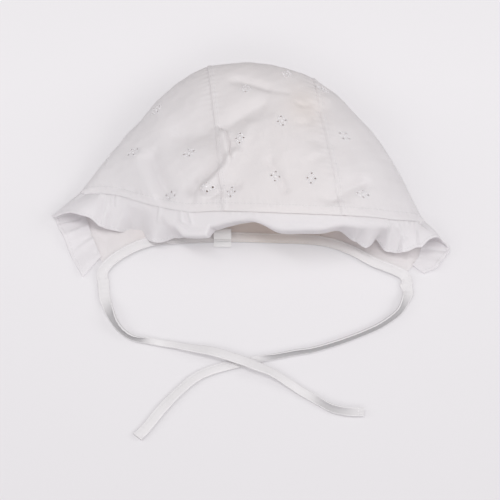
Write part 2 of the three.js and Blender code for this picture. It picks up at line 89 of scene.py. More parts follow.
# Folds, creases and dents of the crown as lines in plan. left and right are the spreads to either side,
# looking along the line.
Fold = namedtuple("Fold", "name line left right height")
FOLDS = [
    Fold("cheek ridge", [(-90, 8), (-78, -27)], 7, 7, 2.5),
    Fold("cheek crease", [(-80, 6), (-68, -26)], 7, 7, -4),
    Fold("cheek edge", [(-84, 9), (-80, -6), (-76, -17), (-72, -28)], 2.5, 6, 1.4),
    Fold("tuck at the seam", [(-22, 16), (-17, -7)], 4, 4, 2.5),
    Fold("tuck edge", [(-27, 23), (-22, 19), (-19, 9), (-18, -1), (-16, -9)], 1.8, 5, 1.6),
    Fold("tuck groove", [(-24, 24), (-19.5, 20), (-16.8, 9), (-16, -1), (-13.5, -8)], 1.2, 1.2, -1.5),
    Fold("slanting fold", [(-11, -4), (-34, -28)], 5, 5, 4),
    Fold("slanting ridge", [(1, 24), (-7, 4), (-15, -12), (-22, -24)], 4, 6, 1.2),
    Fold("under that fold", [(-22, -8), (-46, -26)], 6, 6, -4),
    Fold("pucker", [(-37, -29), (-34, -31)], 4, 4, 1.3),
    Fold("pucker crease", [(-31, -36), (-10, -29)], 4, 4, -2),
    Fold("pucker curve", [(-41, -28), (-40, -33), (-34, -37), (-28, -34), (-21, -30), (-13, -29)],
         2, 2, -1.4),
    Fold("beside the pucker", [(-42, -21), (-45, -26), (-45, -37)], 3, 3, -1.4),
    Fold("left dent", [(-50, 20), (-40, 22)], 15, 15, -5),
    Fold("left dent line", [(-58, 25), (-45, 21), (-30, 23)], 6, 6, -1.2),
    Fold("back dent", [(7, 39), (-16, 27)], 9, 9, -3),
    Fold("back dent line", [(10, 44), (-3, 37), (-15, 27)], 4, 4, -1),
    Fold("top crease", [(-12, 69), (14, 60)], 5, 5, -2),
    Fold("top crease line", [(-9, 71), (5, 64), (19, 57), (30, 55)], 3, 3, -0.8),
    Fold("by the right seam", [(56, 41), (54, 10)], 8, 8, -3.5),
    Fold("hollow line", [(63, 48), (62, 25), (63, 6), (58, -6), (50, -10)], 4, 4, -1),
    Fold("right crease", [(63, -45), (89, -25)], 6, 6, -3),
    Fold("right crease line", [(92, -22), (82, -29), (74, -34), (67, -42)], 3, 3, -1.2),
    Fold("center crease", [(16, -11), (28, -36)], 4, 4, -1.8),
    Fold("center crease line", [(17, -15), (22, -21), (25, -26), (28, -35)], 2, 2, -0.7),
    Fold("brow ridge", [(24, -49), (80, -50)], 4, 4, 1.8),
    Fold("upper arc", [(37, 45), (44, 42), (49, 46)], 2.5, 2.5, -0.7),
    Fold("lower arc", [(38, 25), (47, 25), (51, 31)], 2.5, 2.5, -0.7),
    Fold("left streak", [(15, 33), (15, -1)], 4, 4, -0.5),
    Fold("right streak", [(28, 20), (28, -16)], 4, 4, 0.5),
    Fold("brow wrinkle", [(-104, -15), (-88, -23)], 2, 2, -0.8),
]
FOLD_FADE_FACE = 0.05
FOLD_FADE_BACK = 0.12
Wrinkle = namedtuple("Wrinkle", "height wavelength seed")
WRINKLES = [Wrinkle(0.45, 26, 3), Wrinkle(0.16, 9, 4)]
WRINKLED_FROM = (0.0, 0.06)
WRINKLED_TO = (0.9, 0.98)

# Seams: the raised allowance on the right of each, the dips of its stitching, and the puckers along it
Wave = namedtuple("Wave", "height length start", defaults=(0.0,))
Dip = namedtuple("Dip", "beside spread depth")
SEAM_TOPSTITCH = 3.6
SEAM_ALLOWANCE = 0.75
SEAM_RISE = (0.1, 1.2)
SEAM_FALL = (SEAM_TOPSTITCH, SEAM_TOPSTITCH + 1.4)
SEAM_DIPS = [Dip(0, 0.7, 0.45), Dip(SEAM_TOPSTITCH, 0.6, 0.5), Dip(SEAM_TOPSTITCH / 2, 0.5, 0.35)]
SEAM_PUCKER = 0.3
SEAM_PUCKER_REACH = 5.0
SEAM_WANDER = [Wave(1.3, 9), Wave(0.6, 3.7)]
SEAM_STEPS = 400
PUCKER_LENGTH = 5.2
BROW_BAND = 6.5
BROW_SOFTNESS = 0.8
BROW_RAISE = 0.55
BROW_PUCKER = 0.14
BROW_PUCKER_REACH = 4.0
BROW_WANDER = Wave(1.1, 8)
BROW_STATION = 3  # the station of the first rib's face edge

# The mouth: the edge that the ruffle is sewn to, from the left jaw round the brow to the right jaw
Station = namedtuple("Station", "station rib over")
MOUTH = [
    Station(0, LEFT_JAW, 1),
    Station(2, 0, 1),
    Station(3, 0, 0),
    Station(15, LAST_RIB, 0),
    Station(16, LAST_RIB, 1),
    Station(18, RIGHT_JAW, 1),
]
# swing turns the ruffle in from the crown's slope and lean fans it along the edge, in degrees. bend is the
# share of its width where that turn begins.
Lie = namedtuple("Lie", "station swing lean reach bend", defaults=(0.0,))
RUFFLE_LIES = [
    Lie(0.35, 0, -30, 22),
    Lie(1, 5, -5, 21),
    Lie(1.8, 0, -15, 24),
    Lie(2.2, 0, -25, 26),
    Lie(3.8, -30, 0, 28),
    Lie(4.3, -5, 0, 28),
    Lie(4.6, 10, 0, 28),
    Lie(5, 15, 0, 28),
    Lie(5.5, 40, 0, 29),
    Lie(5.8, 45, -5, 30),
    Lie(6.2, 20, 5, 29),
    Lie(6.7, 65, 0, 28, 0.3),
    Lie(7, 100, 0, 28, 0.55),
    Lie(7.55, 100, 0, 28, 0.55),
    Lie(7.7, 100, 0, 28, 0.3),
    Lie(8.5, 105, -5, 28, 0.1),
    Lie(9, 100, 0, 28, 0.35),
    Lie(9.5, 100, 0, 28, 0.3),
    Lie(10, 100, 15, 28, 0.15),
    Lie(10.5, 75, 15, 28, 0.15),
    Lie(10.9, 55, 10, 28, 0.1),
    Lie(11.3, 80, 35, 28, 0.15),
    Lie(11.9, 45, 15, 28),
    Lie(12.4, 35, 10, 27),
    Lie(12.8, 20, 0, 25),
    Lie(13.8, 5, -5, 22),
    Lie(14.2, 0, 0, 20),
    Lie(15.9, 0, 25, 21),
    Lie(16.4, 5, 10, 22),
    Lie(17, 5, 0, 17.5),
    Lie(17.4, 5, 0, 11),
]
# At both ends of the brow the hem rolls round, from one station to the other through evenly spaced points.
Corner = namedtuple("Corner", "start end hem")
LEFT_HEM = [
    (-154.4, -36.7, 2), (-157.2, -32.8, 2.5), (-159.2, -30.7, 4.5), (-156, -34.2, 9), (-150.4, -34.1, 13.5),
    (-143.2, -35.2, 17), (-135.2, -38.9, 19.5), (-128, -40.7, 18.5), (-121.2, -43.3, 15),
]
RIGHT_HEM = [
    (132.8, -66.6, 13), (137.2, -64.8, 14), (142.4, -59.4, 15), (148.8, -55.8, 13.5),
    (154.4, -56.5, 10), (158, -59.8, 6), (159.2, -63.6, 3),
]
CORNERS = [Corner(1.8, 4.2, LEFT_HEM), Corner(13.8, 16.2, RIGHT_HEM)]
CORNER_BLEND = 0.35
CORNER_BULGE = 1.5
RUFFLE_START = -1.0
RUFFLE_UNDER = 1.1
BEND_WITHIN = 0.3
BEND_STEPS = 24
REST_SOFTNESS = 0.6
EVEN_OVER = 0.2
EDGE_STEPS = 721
GATHER_LENGTH = 13.0
GATHER_HEIGHT = 1.5
GATHER_WANDER = [Wave(0.9, 17), Wave(0.7, 7.3, 1)]
GATHER_UNEVEN = 0.35
GATHER_SLOW = Wave(1, 19, 2)
GATHER_QUICK = Wave(1, 7, 1)
BROW_GATHER = 0.2  # of that height over the brow
BROW_FROM = (2.4, 3.2)
BROW_TO = (14.8, 15.6)
TUCK_LENGTH = 7.0
TUCK_HEIGHT = 0.5
TUCK_WANDER = 1.7
TUCK_UNEVEN = Wave(0.4, 11)
TUCK_FROM = 1.0
TUCK_REACH = 4.0
TUCK_FADE = 0.06
HEM_WIDTH = 2.2
HEM_FROM = 2.7  # the cloth thickens from here, measured from the edge, and is full at the next
HEM_FULL = 1.9
HEM_CLOTH = 1.1
RUFFLE_WIDTH = 28.0
RUFFLE_COLUMNS = 760
RUFFLE_ROWS = 38
RUFFLE_SPACING = 1.15
# Creases of the ruffle as lines of (station, across)
RUFFLE_CREASES = [
    Fold("first tuck", [(4.5, 0.08), (4.55, 0.32)], 1.0, 1.6, 0.9),
    Fold("second tuck", [(4.72, 0.08), (4.8, 0.3)], 1.0, 1.6, 0.9),
    Fold("third tuck", [(6.3, 0.06), (6.28, 0.4)], 1.2, 2.0, 0.9),
    Fold("fourth tuck", [(6.83, 0.05), (6.9, 0.32)], 1.0, 1.8, 1.0),
    Fold("fifth tuck", [(7.05, 0.05), (7.16, 0.34)], 1.0, 1.8, 1.0),
    Fold("cross crease", [(6.78, 0.3), (7.1, 0.52), (7.6, 0.56)], 2.0, 1.4, -1.0),
    Fold("right fold", [(12.2, 0.25), (12.8, 0.6)], 1.6, 2.6, 0.9),
    Fold("right tuck", [(11.6, 0.08), (11.7, 0.35)], 1.0, 1.6, 0.8),
    Fold("left fan ridge", [(0.95, 0.05), (0.8, 0.95)], 1.6, 2.8, 1.6),
    Fold("left fan hollow", [(1.25, 0.05), (1.2, 0.7)], 2.0, 2.0, -1.2),
    Fold("left fan fold", [(1.6, 0.3), (1.75, 0.95)], 1.6, 3.0, 1.4),
    Fold("left fan corner", [(2.05, 0.35), (2.2, 0.9)], 1.6, 2.4, -1.2),
    Fold("right fan ridge", [(16.6, 0.1), (16.5, 0.9)], 1.6, 2.6, 1.4),
    Fold("right fan fold", [(16.1, 0.3), (16.0, 0.95)], 1.4, 2.4, 1.2),
]

# The crown's mesh, its weave, its yellowed stain and the painted warm bounce light inside it
TOP_STEPS = 130
TURN_STEPS = 34
TABLE_STEPS = 56
WEAVE_STEP = 23.0
WEAVE_LENGTH = 280.0
RUFFLE_WEAVE_STEP = 1.5 * WEAVE_STEP
STAIN = 0.28
STAIN_PLACE = (44, 42)
STAIN_SPREAD = (15, 20)
# painted warm bounce light on the inside of the crown, strongest at the nape
INSIDE_PAINTED_BOUNCE = 0.12
NAPE_PAINTED_BOUNCE = 0.6
NAPE_SPREAD = 1.8
CENTER_RIB = 6

# Pierced flowers on the top, round the back and underneath: holes at the corners of a diamond, with
# satin-stitched rims, a raised middle and leaves between the holes
Flower = namedtuple("Flower", "rib over turn", defaults=(0,))
FLOWERS = [Flower(*row) for row in [
    (1.7, 0.5), (2.7, 0.27), (3.55, 0.41), (3.6, 0.05), (4.25, 0.17), (4.7, 0.06), (5.2, 0.05), (5.45, 0.18),
    (5.65, 0.33), (5.95, 0.09), (6.2, 0.23, 18), (6.45, 0.42), (6.55, 0.09), (7.2, 0.41, 18), (7.55, 0.24),
    (7.8, 0.07),
    (2.6, 0.56), (3.6, 0.62), (4.6, 0.55), (5.5, 0.55), (6.5, 0.57), (7.5, 0.58), (8.5, 0.55), (9.5, 0.57),
    (2.9, 0.82), (4.0, 0.86), (4.7, 0.78), (5.4, 0.72), (5.5, 0.88), (6.0, 0.8), (6.5, 0.9), (6.6, 0.72),
    (7.4, 0.8), (8.3, 0.88), (9.0, 0.78),
]]
FLOWER_LONG = 4.3
FLOWER_SHORT = 3.1
FLOWER_BLOCK = 6.0
HOLE_RADIUS = 0.75
HOLE_SIDES = 12
HOLE_CLEAR = 0.35
LEAST_SPREAD = 1e-3
RIM_RADIUS = 1.1
RIM_THICKNESS = 0.32
RIM_RAISE = 0.35 * RIM_THICKNESS
RIM_AROUND = 14
RIM_TUBE = 6
MIDDLE_PAD = 0.95
LEAF_LONG = 1.2
LEAF_WIDE = 0.5
LEAF_OUT = 0.62
PAD_SIDES = 10
PAD_RINGS = [(1.0, -0.15), (0.85, 0.18), (0.5, 0.4)]  # share of its size, and height
PAD_TOP = 0.45

# Neck tape: its edges beyond the neck line, how its ends narrow, its puckers, the painted warm bounce light
# on its middle and the painted shade on its lower front edge
TAPE_FRONT = 2.6
TAPE_BACK = -6.4
TAPE_STEPS = 300
TAPE_END_HEIGHT = 0.74
TAPE_END_SLOPE = 14.0
TAPE_CLOSING = 0.3
TAPE_CLOSING_LENGTH = 3.0
TAPE_PUCKER = 0.06
TAPE_PUCKER_LENGTH = 9.0
TAPE_WANDER = Wave(0.9, 7)
TAPE_SWAY = Wave(0.2, 11)
# painted warm bounce light on the middle of the tape, inside the mouth
TAPE_PAINTED_BOUNCE = 0.45
TAPE_BOUNCE_X = 18.0
TAPE_BOUNCE_SPREAD = 42.0
# Its section as (beside, height): over the top, under the front edge, and round the slot for the cloth
TAPE_SECTION = np.array([
    (TAPE_BACK, 2.2), (TAPE_BACK + 0.1, 2.75), (TAPE_BACK + 0.9, 2.85), (TAPE_BACK + 1.5, 2.7),
    (TAPE_BACK + 2.4, 2.95), (TAPE_BACK + 4, 3.05), (TAPE_FRONT - 3.4, 3.0), (TAPE_FRONT - 2.2, 2.85),
    (TAPE_FRONT - 1.6, 2.55), (TAPE_FRONT - 1.0, 2.6), (TAPE_FRONT - 0.3, 2.7), (TAPE_FRONT, 2.4),
    (TAPE_FRONT - 0.1, 2.05), (TAPE_FRONT - 0.8, 1.85), (TAPE_FRONT - 4.4, 0.12), (TAPE_BACK, 0.12),
    (TAPE_BACK, 0.8), (-1.9, 0.8), (-1.6, 1.2), (-1.6, 1.9), (-1.9, 2.2),
])
TAPE_UPPER = 2.4  # what is higher puckers
TAPE_LOWER_EDGE = slice(11, 14)  # the points painted with shade, where the edge meets the table
TAPE_STITCHES = [(TAPE_BACK + 1.5, 2.75), (TAPE_FRONT - 1.6, 2.6)]

# The ties' routes on the table. roll stands the tape on its edge, lift raises it over the other, and wide is
# the share of its width where it folds together lengthwise.
Turn = namedtuple("Turn", "x y roll lift wide", defaults=(1.0,))
TIE_LEFT = [
    Turn(-116.7, -87.5, 0, 0),
    Turn(-116.4, -92.5, 0, 0),
    Turn(-115.2, -104.3, 5, 0),
    Turn(-111.6, -116.4, 32, 0, 0.95),
    Turn(-105.6, -128.4, 62, 0, 0.8),
    Turn(-98.4, -136.7, 70, 0, 0.65),
    Turn(-89.6, -141.8, 58, 0, 0.5),
    Turn(-76, -144.5, 14, 0, 0.6),
    Turn(-60.8, -147.3, -10, 0.3, 0.75),
    Turn(-44, -151.5, -14, 1.4, 0.9),
    Turn(-28.8, -155.2, -12, 3.2),
    Turn(-8, -162.5, -10, 3.6),
    Turn(5.6, -168.5, -14, 3.4, 0.97),
    Turn(19.2, -174.6, -15, 2.6, 0.9),
    Turn(40, -188.4, 2, 0.6, 0.8),
    Turn(54.4, -198.1, 34, 0, 0.75),
    Turn(64, -203.7, 40, 0, 0.73),
    Turn(75.2, -206.4, 32, 0, 0.76),
    Turn(88.4, -206.9, 18, 0, 0.82),
]
TIE_RIGHT = [
    Turn(123, -91.2, 0, 0),
    Turn(124.4, -95.6, 0, 0),
    Turn(125.3, -100.5, -8, 0, 0.96),
    Turn(123, -107.5, -32, 0, 0.8),
    Turn(117.2, -118, -54, 0, 0.66),
    Turn(105.6, -127.6, -64, 0, 0.58),
    Turn(93.6, -134.4, -66, 0, 0.55),
    Turn(72, -143.8, -66, 0, 0.53),
    Turn(50.4, -151.2, -62, 0, 0.52),
    Turn(36, -154, -56, 0, 0.52),
    Turn(18.4, -157.9, -46, 0, 0.52),
    Turn(0, -161.6, -12, 0, 0.72),
    Turn(-20.8, -166.7, 3, 0, 0.9),
    Turn(-40, -174.6, 8, 0, 0.92),
    Turn(-54.4, -187.5, 9, 0, 0.92),
    Turn(-68, -203.2, 8, 0, 0.94),
    Turn(-80, -219.8, 6, 0, 0.96),
    Turn(-87.2, -228.1, 4, 0, 0.97),
]
TIE_WIDTH = 9.0
TIE_THICKNESS = 2.0
TIE_PART_THICKNESS = 2.4
TIE_STEPS = 240
TIE_CLEAR = 0.2
TIE_WIDTH_WAVES = [Wave(0.02, 6.1), Wave(0.015, 2.3)]
TIE_THICKNESS_WAVE = Wave(0.06, 1 / 1.35)
# Points of a tie's section: its upper side, and the places painted with shade: the lower edges where they
# meet the table, and the inside of the channel
TIE_UPPER = slice(1, 11)
TIE_INNER = slice(4, 9)
TIE_LOWER_EDGES = [0, 11, 12, 18]
EDGE_PAINTED_SHADE = 0.7
CHANNEL_PAINTED_SHADE = 0.75

# Label: a folded woven tape. Its section is (y, z) from the end of the lower leaf to that of the upper.
LABEL_X = -22.0
LABEL_WIDTH = 14.0
LABEL_SECTION = [
    (-59.2, 3.8), (-57.5, 3.7), (-55, 3.75), (-52, 3.9), (-49, 4.2), (-46.4, 4.9), (-44.9, 6.0),
    (-44.6, 7.4), (-45.4, 8.6), (-47.4, 9.1), (-50, 8.8), (-52.4, 8.0), (-54.6, 7.5), (-55.8, 8.1),
]
LABEL_ROWS = 60
LABEL_COLUMNS = 24
LABEL_BOW = Wave(0.25, LABEL_WIDTH / (1.4 * math.pi), 0.6)
LABEL_BOWED = (4.2, 5.6)

# Stitches: a stitch's rings along its length, with their widths, and where the lines of stitches run
STITCH_PITCH = 2.6
STITCH_LENGTH = 1.9
STITCH_RADIUS = 0.17
STITCH_RINGS = [(-0.5, 0.35), (-0.3, 1.0), (0.3, 1.0), (0.5, 0.35)]
STITCH_SIDES = 6
STITCH_AHEAD = 0.5
STITCH_LIFT = 0.05
LINE_STEPS = 500
SEAM_STITCHED = (0.01, 0.985)
SEAM_NEAR = 0.05  # a small step in rib, to measure by
BROW_STITCHED = 0.1  # in ribs from either end
BROW_NEAR = 0.02  # a small step in over, to measure by
HEM_STITCHED = 0.02  # in stations from either end
HEM_STEPS = 900
HEM_LIFT = 0.15
TAPE_STITCHED = 0.2  # in points of the neck line from either end
BAR_TACKS = [4.9, 4.96, 5.02, 5.08]  # ribs
TACK_OVERS = (0.002, 0.075)
TACK_STEPS = 60
TACK_LIFT = 0.08
TIE_TACKS = [0.12, 0.22, 0.32]  # turns before a tie's end
TIE_TACK_INSET = 0.6
TIE_TACK_STEPS = 30

# Materials
COTTON_DARK = (0.88, 0.86, 0.875, 1)
COTTON_LIGHT = (0.93, 0.91, 0.925, 1)
COTTON_THROUGH = 0.36
# the yellow of a real stain, and of painted warm bounce light
STAIN_AND_BOUNCE_YELLOW = (0.88, 0.78, 0.70, 1)
# painted shade: the dark colour for the tapes' lower edges and the inside of a tie's channel
PAINTED_SHADE_GREY = (0.36, 0.35, 0.36, 1)
THREADS = 9.0
THREAD_HEIGHT = 0.15
CRINKLE_HEIGHT = 2.0
BUMP_DISTANCE = 0.0003
# painted shade: the floor's colour is darker towards the front and lighter towards the back
FLOOR_FRONT_PAINTED_SHADE = [(0.72, 0.70, 0.72, 1), (0.73, 0.71, 0.73, 1)]
FLOOR_BACK = (0.815, 0.795, 0.815, 1)
FLOOR_NEAR = -0.3
FLOOR_FAR = 0.1
FLOOR_GLOW = 1.04
FLOOR_GLOW_SHARE = 0.33

# Floor and camera, in metres
FLOOR_SIZE = 6.0
CAMERA_DISTANCE = 2.6
CAMERA_ELEVATION = math.radians(60)
CAMERA_TARGET = Vector((0, -0.060, 0))
SENSOR_WIDTH = 36
VIEW_WIDTH = 0.4

UP = np.array([0.0, 0.0, 1.0])
STEP = 1e-3  # for slopes taken from differences
SHARP_ANGLE = math.radians(55)


def column(rows, name):
    return np.array([getattr(row, name) for row in rows], float)


def as_arrays(a, b):
    return np.broadcast_arrays(np.asarray(a, float), np.asarray(b, float))


def unit(vectors):
    return vectors / np.maximum(np.linalg.norm(vectors, axis=-1, keepdims=True), 1e-9)


def ramp(start, end, x):
    t = np.clip((x - start) / (end - start), 0, 1)
    return t * t * (3 - 2 * t)


def plateau(rise, fall, x):
    """Up from 0 to 1 over one span, and down again over the other."""
    return ramp(*rise, x) * (1 - ramp(*fall, x))


def waves(lengths, *rows):
    return sum(row.height * np.sin(lengths / row.length + row.start) for row in rows)


def circle(count):
    angles = np.arange(count) * 2 * math.pi / count
    return np.stack([np.cos(angles), np.sin(angles)], -1)


def turned(spots, angle):
    c, s = math.cos(angle), math.sin(angle)
    return spots @ np.array([[c, s], [-s, c]])


def spline(rows, t):
    """Catmull-Rom through evenly spaced rows."""
    rows = np.asarray(rows, float)
    padded = np.concatenate([[2 * rows[0] - rows[1]], rows, [2 * rows[-1] - rows[-2]]])
    t = np.asarray(t, float)
    i = np.clip(np.floor(t).astype(int), 0, len(rows) - 2)
    f = (t - i).reshape(t.shape + (1,) * (rows.ndim - 1))
    a, b, c, d = (padded[i + k] for k in range(4))
    return b + 0.5 * f * (c - a + f * (2 * a - 5 * b + 4 * c - d + f * (3 * (b - c) + d - a)))


def between(rows, name, station):
    """Smooth steps between the rows of a table, by station."""
    keys = column(rows, "station")
    values = column(rows, name)
    after = np.clip(np.searchsorted(keys, station), 1, len(keys) - 1)
    share = ramp(keys[after - 1], keys[after], station)
    return values[after - 1] + (values[after] - values[after - 1]) * share


def ripples(points, wavelength, seed, count=9):
    """A seeded field of soft bumps, about -1 to 1."""
    rng = np.random.default_rng(seed)
    ways = unit(rng.normal(size=(count, 3))) / rng.uniform(0.7, 1.4, (count, 1))
    phases = rng.uniform(0, 2 * math.pi, count)
    return np.sin(points @ ways.T * 2 * math.pi / wavelength + phases).sum(-1) / math.sqrt(2 * count)


def path_lengths(points):
    """The length up to each point of a path."""
    return np.concatenate([[0], np.cumsum(np.linalg.norm(np.diff(points, axis=0), axis=1))])


FACES = column(RIBS, "face")
REARS = column(RIBS, "rear")
RISES = column(RIBS, "rise")
SHOULDERS = column(RIBS, "shoulder")
EDGES = column(RIBS, "edge")
NECK = np.array([TAIL_LEFT, *EDGES[LEFT_JAW:RIGHT_JAW + 1], TAIL_RIGHT])


def lower_edge(rib):
    left = spline(EDGES[:LEFT_JAW + 1], rib)
    neck = spline(NECK, rib - LEFT_JAW + 1)
    right = spline(EDGES[RIGHT_JAW:], rib - RIGHT_JAW)
    rib = rib[..., None]
    plan = np.where(rib < LEFT_JAW, left, np.where(rib > RIGHT_JAW, right, neck))
    return np.concatenate([plan, np.full(rib.shape, PART_CLOTH / 2)], -1)


def plain_crown(rib, over):
    """The crown's middle surface without its folds."""
    rib, over = as_arrays(rib, over)
    face = spline(FACES, rib)
    rear = spline(REARS, rib)
    t = np.minimum(over / OVER_TOP, 1)[..., None]
    brow = face + RIB_BROW * (rear - face)
    brow[..., 2] = face[..., 2] + spline(RISES, rib)
    back = rear.copy()
    back[..., 2] += spline(SHOULDERS, rib)
    top = (1 - t) ** 3 * face + 3 * t * (1 - t) ** 2 * brow + 3 * t * t * (1 - t) * back + t ** 3 * rear
    edge = lower_edge(rib)
    below = rear.copy()
    below[..., 2] = PART_CLOTH / 2
    leg = np.linalg.norm(edge - below, axis=-1)
    tuck = np.minimum(TURN_UNDER * rear[..., 2], MOST_TURN * leg)
    landing = below + (edge - below) * (tuck / leg)[..., None]
    t = np.clip((over - OVER_TOP) / (OVER_TABLE - OVER_TOP), 0, 1)[..., None]
    turn = (1 - t) ** 2 * rear + 2 * t * (1 - t) * below + t * t * landing
    forward = np.maximum((over - OVER_TABLE) / (1 - OVER_TABLE), 0)
    bound = plateau((LEFT_JAW - JAW_RAMP_FROM, LEFT_JAW - JAW_RAMP_TO),
                    (RIGHT_JAW + JAW_RAMP_TO, RIGHT_JAW + JAW_RAMP_FROM), rib)
    table = landing + (edge - landing) * forward[..., None]
    table[..., 2] += (EDGE_HEIGHT - PART_CLOTH / 2) * bound * ramp(EDGE_UP_FROM, EDGE_UP_BY, forward)
    over = over[..., None]
    return np.where(over <= OVER_TOP, top, np.where(over <= OVER_TABLE, turn, table))


def differences(surface, a, b):
    """The small moves of a surface along each of its two directions."""
    along_a = surface(a + STEP, b) - surface(a - STEP, b)
    along_b = surface(a, b + STEP) - surface(a, b - STEP)
    return along_a, along_b


def normal_of(surface, a, b):
    return unit(np.cross(*differences(surface, a, b)))


def fold_height(x, y, folds):
    spot = np.stack([x, y], -1)
    total = np.zeros(x.shape)
    for fold in folds:
        nearest = np.full(x.shape, np.inf)
        share = np.zeros(x.shape)
        middle = (fold.left + fold.right) / 2
        skew = (fold.left - fold.right) / 2
        for start, end in zip(fold.line, fold.line[1:]):
            along = np.subtract(end, start)
            length = math.hypot(*along)
            t = np.clip((spot - start) @ along / length ** 2, 0, 1)
            off = spot - start - t[..., None] * along
            away = np.maximum(np.hypot(off[..., 0], off[..., 1]), 1e-6)
            side = (along[0] * off[..., 1] - along[1] * off[..., 0]) / (length * away)
            closer = away < nearest
            nearest = np.where(closer, away, nearest)
            share = np.where(closer, away / (middle + skew * side), share)
        total += fold.height * np.exp(-share ** 2)
    return total


def seam_height(rib, over, points, seam):
    """The raised allowance, dips and puckers along one seam."""
    away = np.linalg.norm(points - plain_crown(seam, over), axis=-1)
    side = np.where(rib > seam, away, -away)
    steps = np.linspace(0, 1, SEAM_STEPS)
    along = np.interp(over, steps, path_lengths(plain_crown(seam, steps)))
    height = SEAM_ALLOWANCE * plateau(SEAM_RISE, SEAM_FALL, side)
    for dip in SEAM_DIPS:
        height = height - dip.depth * np.exp(-((side - dip.beside) / dip.spread) ** 2)
    pucker = np.sin(2 * math.pi * along / PUCKER_LENGTH + waves(along, *SEAM_WANDER))
    return height + SEAM_PUCKER * pucker * np.exp(-away / SEAM_PUCKER_REACH)


def crown(rib, over):
    """The crown's middle surface with all its folds, seams and wrinkles."""
    rib, over = as_arrays(rib, over)
    points = plain_crown(rib, over)
    normals = normal_of(plain_crown, rib, over)
    top = 1 - ramp(OVER_TOP - FOLD_FADE_BACK, OVER_TOP, over)
    height = top * ramp(0, FOLD_FADE_FACE, over) * fold_height(points[..., 0], points[..., 1], FOLDS)
    for seam in (LEFT_SEAM, RIGHT_SEAM):
        height += seam_height(rib, over, points, seam)
    from_face = np.linalg.norm(points - plain_crown(rib, 0), axis=-1)
    band_end = BROW_BAND - BROW_SOFTNESS, BROW_BAND + BROW_SOFTNESS
    height += BROW_RAISE * plateau((0, BROW_SOFTNESS), band_end, from_face)
    along = edge_length(rib + BROW_STATION)
    pucker = np.sin(2 * math.pi * along / PUCKER_LENGTH + waves(along, BROW_WANDER))
    height += BROW_PUCKER * pucker * np.exp(-np.abs(from_face - BROW_BAND) / BROW_PUCKER_REACH)
    wrinkles = sum(row.height * ripples(points, row.wavelength, row.seed) for row in WRINKLES)
    height += plateau(WRINKLED_FROM, WRINKLED_TO, over) * wrinkles
    points = points + normals * height[..., None]
    points[..., 2] = np.maximum(points[..., 2], CROWN_REST + CROWN_CLOTH / 2)
    return points


def edge_length(station):
    """How far along the mouth a station lies."""
    return np.interp(station, EDGE_STATIONS, EDGE_LENGTHS)


def mouth(station):
    stations = column(MOUTH, "station")
    rib = np.interp(station, stations, column(MOUTH, "rib"))
    over = np.interp(station, stations, column(MOUTH, "over"))
    return plain_crown(rib, over), normal_of(plain_crown, rib, over)


EDGE_STATIONS = np.linspace(MOUTH[0].station, MOUTH[-1].station, EDGE_STEPS)
EDGE_LENGTHS = path_lengths(mouth(EDGE_STATIONS)[0])
EDGE_CREASES = [
    crease._replace(line=[(edge_length(station), across * RUFFLE_WIDTH) for station, across in crease.line])
    for crease in RUFFLE_CREASES
]


def mouth_frame(station):
    """The sewing edge, and the ways along it, out of the crown's cloth and off its face."""
    before, normal_before = mouth(station - EVEN_OVER)
    after, normal_after = mouth(station + EVEN_OVER)
    place, normal = mouth(station)
    along = unit(after - before)
    outward = unit(np.cross(along, normal_before + normal + normal_after))
    return place, along, outward, np.cross(outward, along)


def corner_share(corner, station):
    rise = corner.start, corner.start + CORNER_BLEND
    fall = corner.end - CORNER_BLEND, corner.end
    return plateau(rise, fall, station)[..., None]


def rolled(corner, station, across, place):
    """The ruffle where it rolls round a corner."""
    share = np.clip((station - corner.start) / (corner.end - corner.start), 0, 1)
    hem = spline(corner.hem, share * (len(corner.hem) - 1))
    points = place + (hem - place) * across[..., None]
    points[..., 2] += CORNER_BULGE * np.sin(math.pi * across)
    return points


def ruffle(station, across):
    """The ruffle's middle surface, from the seam at 0 to the hem at 1."""
    station, across = as_arrays(station, across)
    place, along, outward, normal = mouth_frame(station)
    swing = np.radians(between(RUFFLE_LIES, "swing", station))
    lean = np.radians(between(RUFFLE_LIES, "lean", station))[..., None]
    reach = between(RUFFLE_LIES, "reach", station) - RUFFLE_START
    bend = between(RUFFLE_LIES, "bend", station)
    points = place + RUFFLE_START * outward - RUFFLE_UNDER * normal
    outward = outward * np.cos(lean) + along * np.sin(lean)
    part = (across / BEND_STEPS * reach)[..., None]
    for step in range(BEND_STEPS):
        turn = (swing * ramp(bend, bend + BEND_WITHIN, across * (step + 0.5) / BEND_STEPS))[..., None]
        points = points + part * (np.cos(turn) * outward - np.sin(turn) * normal)
    inward = -np.cos(turn) * normal - np.sin(turn) * outward
    for corner in CORNERS:
        share = corner_share(corner, station)
        points = points + share * (rolled(corner, station, across, place) - points)
    length = edge_length(station)
    crease = fold_height(length, across * RUFFLE_WIDTH, EDGE_CREASES)
    gather = gather_height(station, across, length) - tuck_height(across, across * reach, length)
    points = points + inward * (gather - crease)[..., None]
    clear = points[..., 2] - PART_CLOTH / 2
    points[..., 2] = PART_CLOTH / 2 + (clear + np.hypot(clear, REST_SOFTNESS)) / 2
    return points


def gather_height(station, across, length):
    """Uneven gathers, widest at the hem and lower over the brow."""
    height = GATHER_HEIGHT * (1 + (BROW_GATHER - 1) * plateau(BROW_FROM, BROW_TO, station)) * across
    phase = 2 * math.pi * length / GATHER_LENGTH + waves(length, *GATHER_WANDER)
    swell = waves(length, GATHER_SLOW) * waves(length, GATHER_QUICK)
    return height * (0.5 - 0.5 * np.cos(phase)) * (1 - GATHER_UNEVEN + GATHER_UNEVEN * swell)


